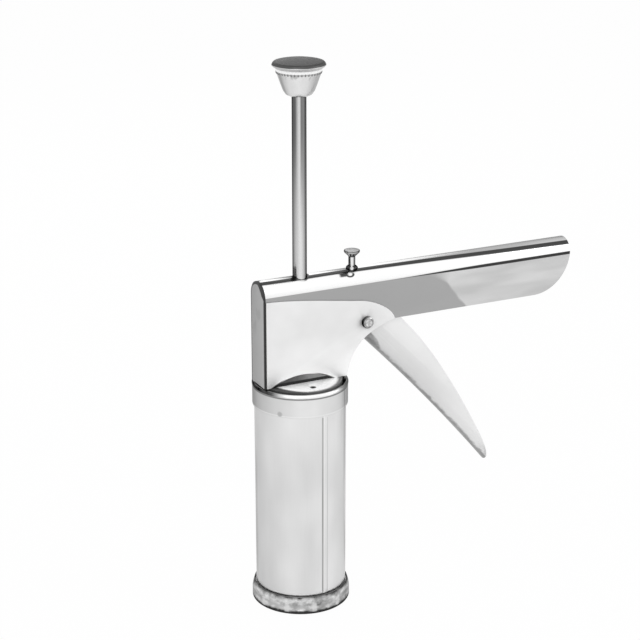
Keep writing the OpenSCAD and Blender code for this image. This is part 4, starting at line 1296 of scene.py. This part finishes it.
def rod_finish_and_light():
    f = Finish("rod_polish")
    grind = f.noise(700, 2, (1, 1, 0.02))
    drift = f.noise(14, 1, (0, 0, 1))
    place = f.sweep() + drift.swing(0.04)
    # Painted reflections across the rod, changing with height, and painted shade at its foot above the
    # roof.
    high = f.across(
        place,
        (-1, 0.05), (-0.7, 0.14), (-0.5, 0.14), (-0.2, 0.52), (0.05, 0.77),
        (0.3, 0.21), (0.42, 0.2), (0.55, 0.29), (0.7, 0.16), (1, 0.05),
    )
    low = f.across(
        place,
        (-1, 0.08), (-0.85, 0.22), (-0.5, 0.58), (-0.25, 0.62), (0.1, 0.8), (0.3, 0.78),
        (0.6, 0.5), (0.8, 0.22), (1, 0.09),
    )
    foot = f.z.before(HEAD_TOP + 5.8, 2) * place.before(0.34, 0.1).most(place.past(0.88, 0.06))
    tone = high.toward(low, f.z.spread(210, 285, 1, 0)).toward(0.08, foot * 0.8)
    tone = tone + grind.swing(0.04)
    return f.close(tone, 0.2 + grind * 0.08, grind, 0.01, glint=0.2)


def cup_finish_and_light():
    f = Finish("cup_steel")
    spot = f.noise(260, 3, (1, 1, 0.5))
    # Painted shade across the cup, darker at its edges as the camera sees them.
    body = f.across(
        f.sweep(),
        (-1, 0.28), (-0.85, 0.32), (-0.72, 0.6), (-0.5, 0.76), (0, 0.84),
        (0.4, 0.78), (0.6, 0.66), (0.8, 0.5), (0.95, 0.36), (1, 0.28),
    )
    # Darker streaks below the crimp, painted shade along the crimp line and a painted highlight on the lip
    # above it.
    low_streaks = spot.past(0.57, 0.08) * f.z.past(CRIMP_Z - 2.3, 4)
    line = f.z.near(CRIMP_Z + 0.2, 0.6, 0.5)
    lip = f.z.past(CRIMP_Z + 0.5, 0.4)
    brim = f.z.past(KNOB_LOW - 1.4, 0.8)
    tone = (body + spot.swing(0.12)).toward(0.3, low_streaks * 0.6).toward(0.42, line * 0.8)
    tone = tone.toward(1.0, lip).toward(0.58 + spot.swing(0.3), brim)
    return f.close(tone, 0.22 + lip * 0.2, spot, 0.02)


def knob_finish():
    f = Finish("knob_polish")
    cloud = f.noise(260)
    under = 0.62 + cloud.swing(0.1)
    ridge = f.radius().near(13.4, 0.4, 0.8)
    cover = 0.09 + cloud.swing(0.03) - ridge * 0.03
    tone = under.toward(cover, f.z.past(KNOB_LOW + 0.5, 0.3))
    return f.close(tone, 0.32 + cloud * 0.06, cloud, 0.01, metal=0.6, glint=0.2)


# Panel, registering and the run

STEPS = (
    PRESS_OT_studio,
    PRESS_OT_barrel,
    PRESS_OT_cap,
    PRESS_OT_head,
    PRESS_OT_trigger,
    PRESS_OT_works,
    PRESS_OT_plunger,
)


class PRESS_PT_panel(bpy.types.Panel):
    """Lists the settings and the steps"""

    bl_idname = "PRESS_PT_panel"
    bl_label = "Lever press"
    bl_space_type = "VIEW_3D"
    bl_region_type = "UI"
    bl_category = "Press"

    def draw(self, context):
        for group in (context.scene.press_studio, context.scene.press_repeats):
            for key in group.__annotations__:
                self.layout.prop(group, key)
        for step in STEPS:
            self.layout.operator(step.bl_idname)


CLASSES = (StudioSettings, RepeatSettings, *STEPS, PRESS_PT_panel)


def register():
    for cls in CLASSES:
        bpy.utils.register_class(cls)
    bpy.types.Scene.press_studio = PointerProperty(type=StudioSettings)
    bpy.types.Scene.press_repeats = PointerProperty(type=RepeatSettings)


def unregister():
    del bpy.types.Scene.press_repeats
    del bpy.types.Scene.press_studio
    for cls in reversed(CLASSES):
        bpy.utils.unregister_class(cls)


def main():
    register()
    for step in STEPS:
        group, name = step.bl_idname.split(".")
        getattr(getattr(bpy.ops, group), name)()


if __name__ == "__main__":
    main()
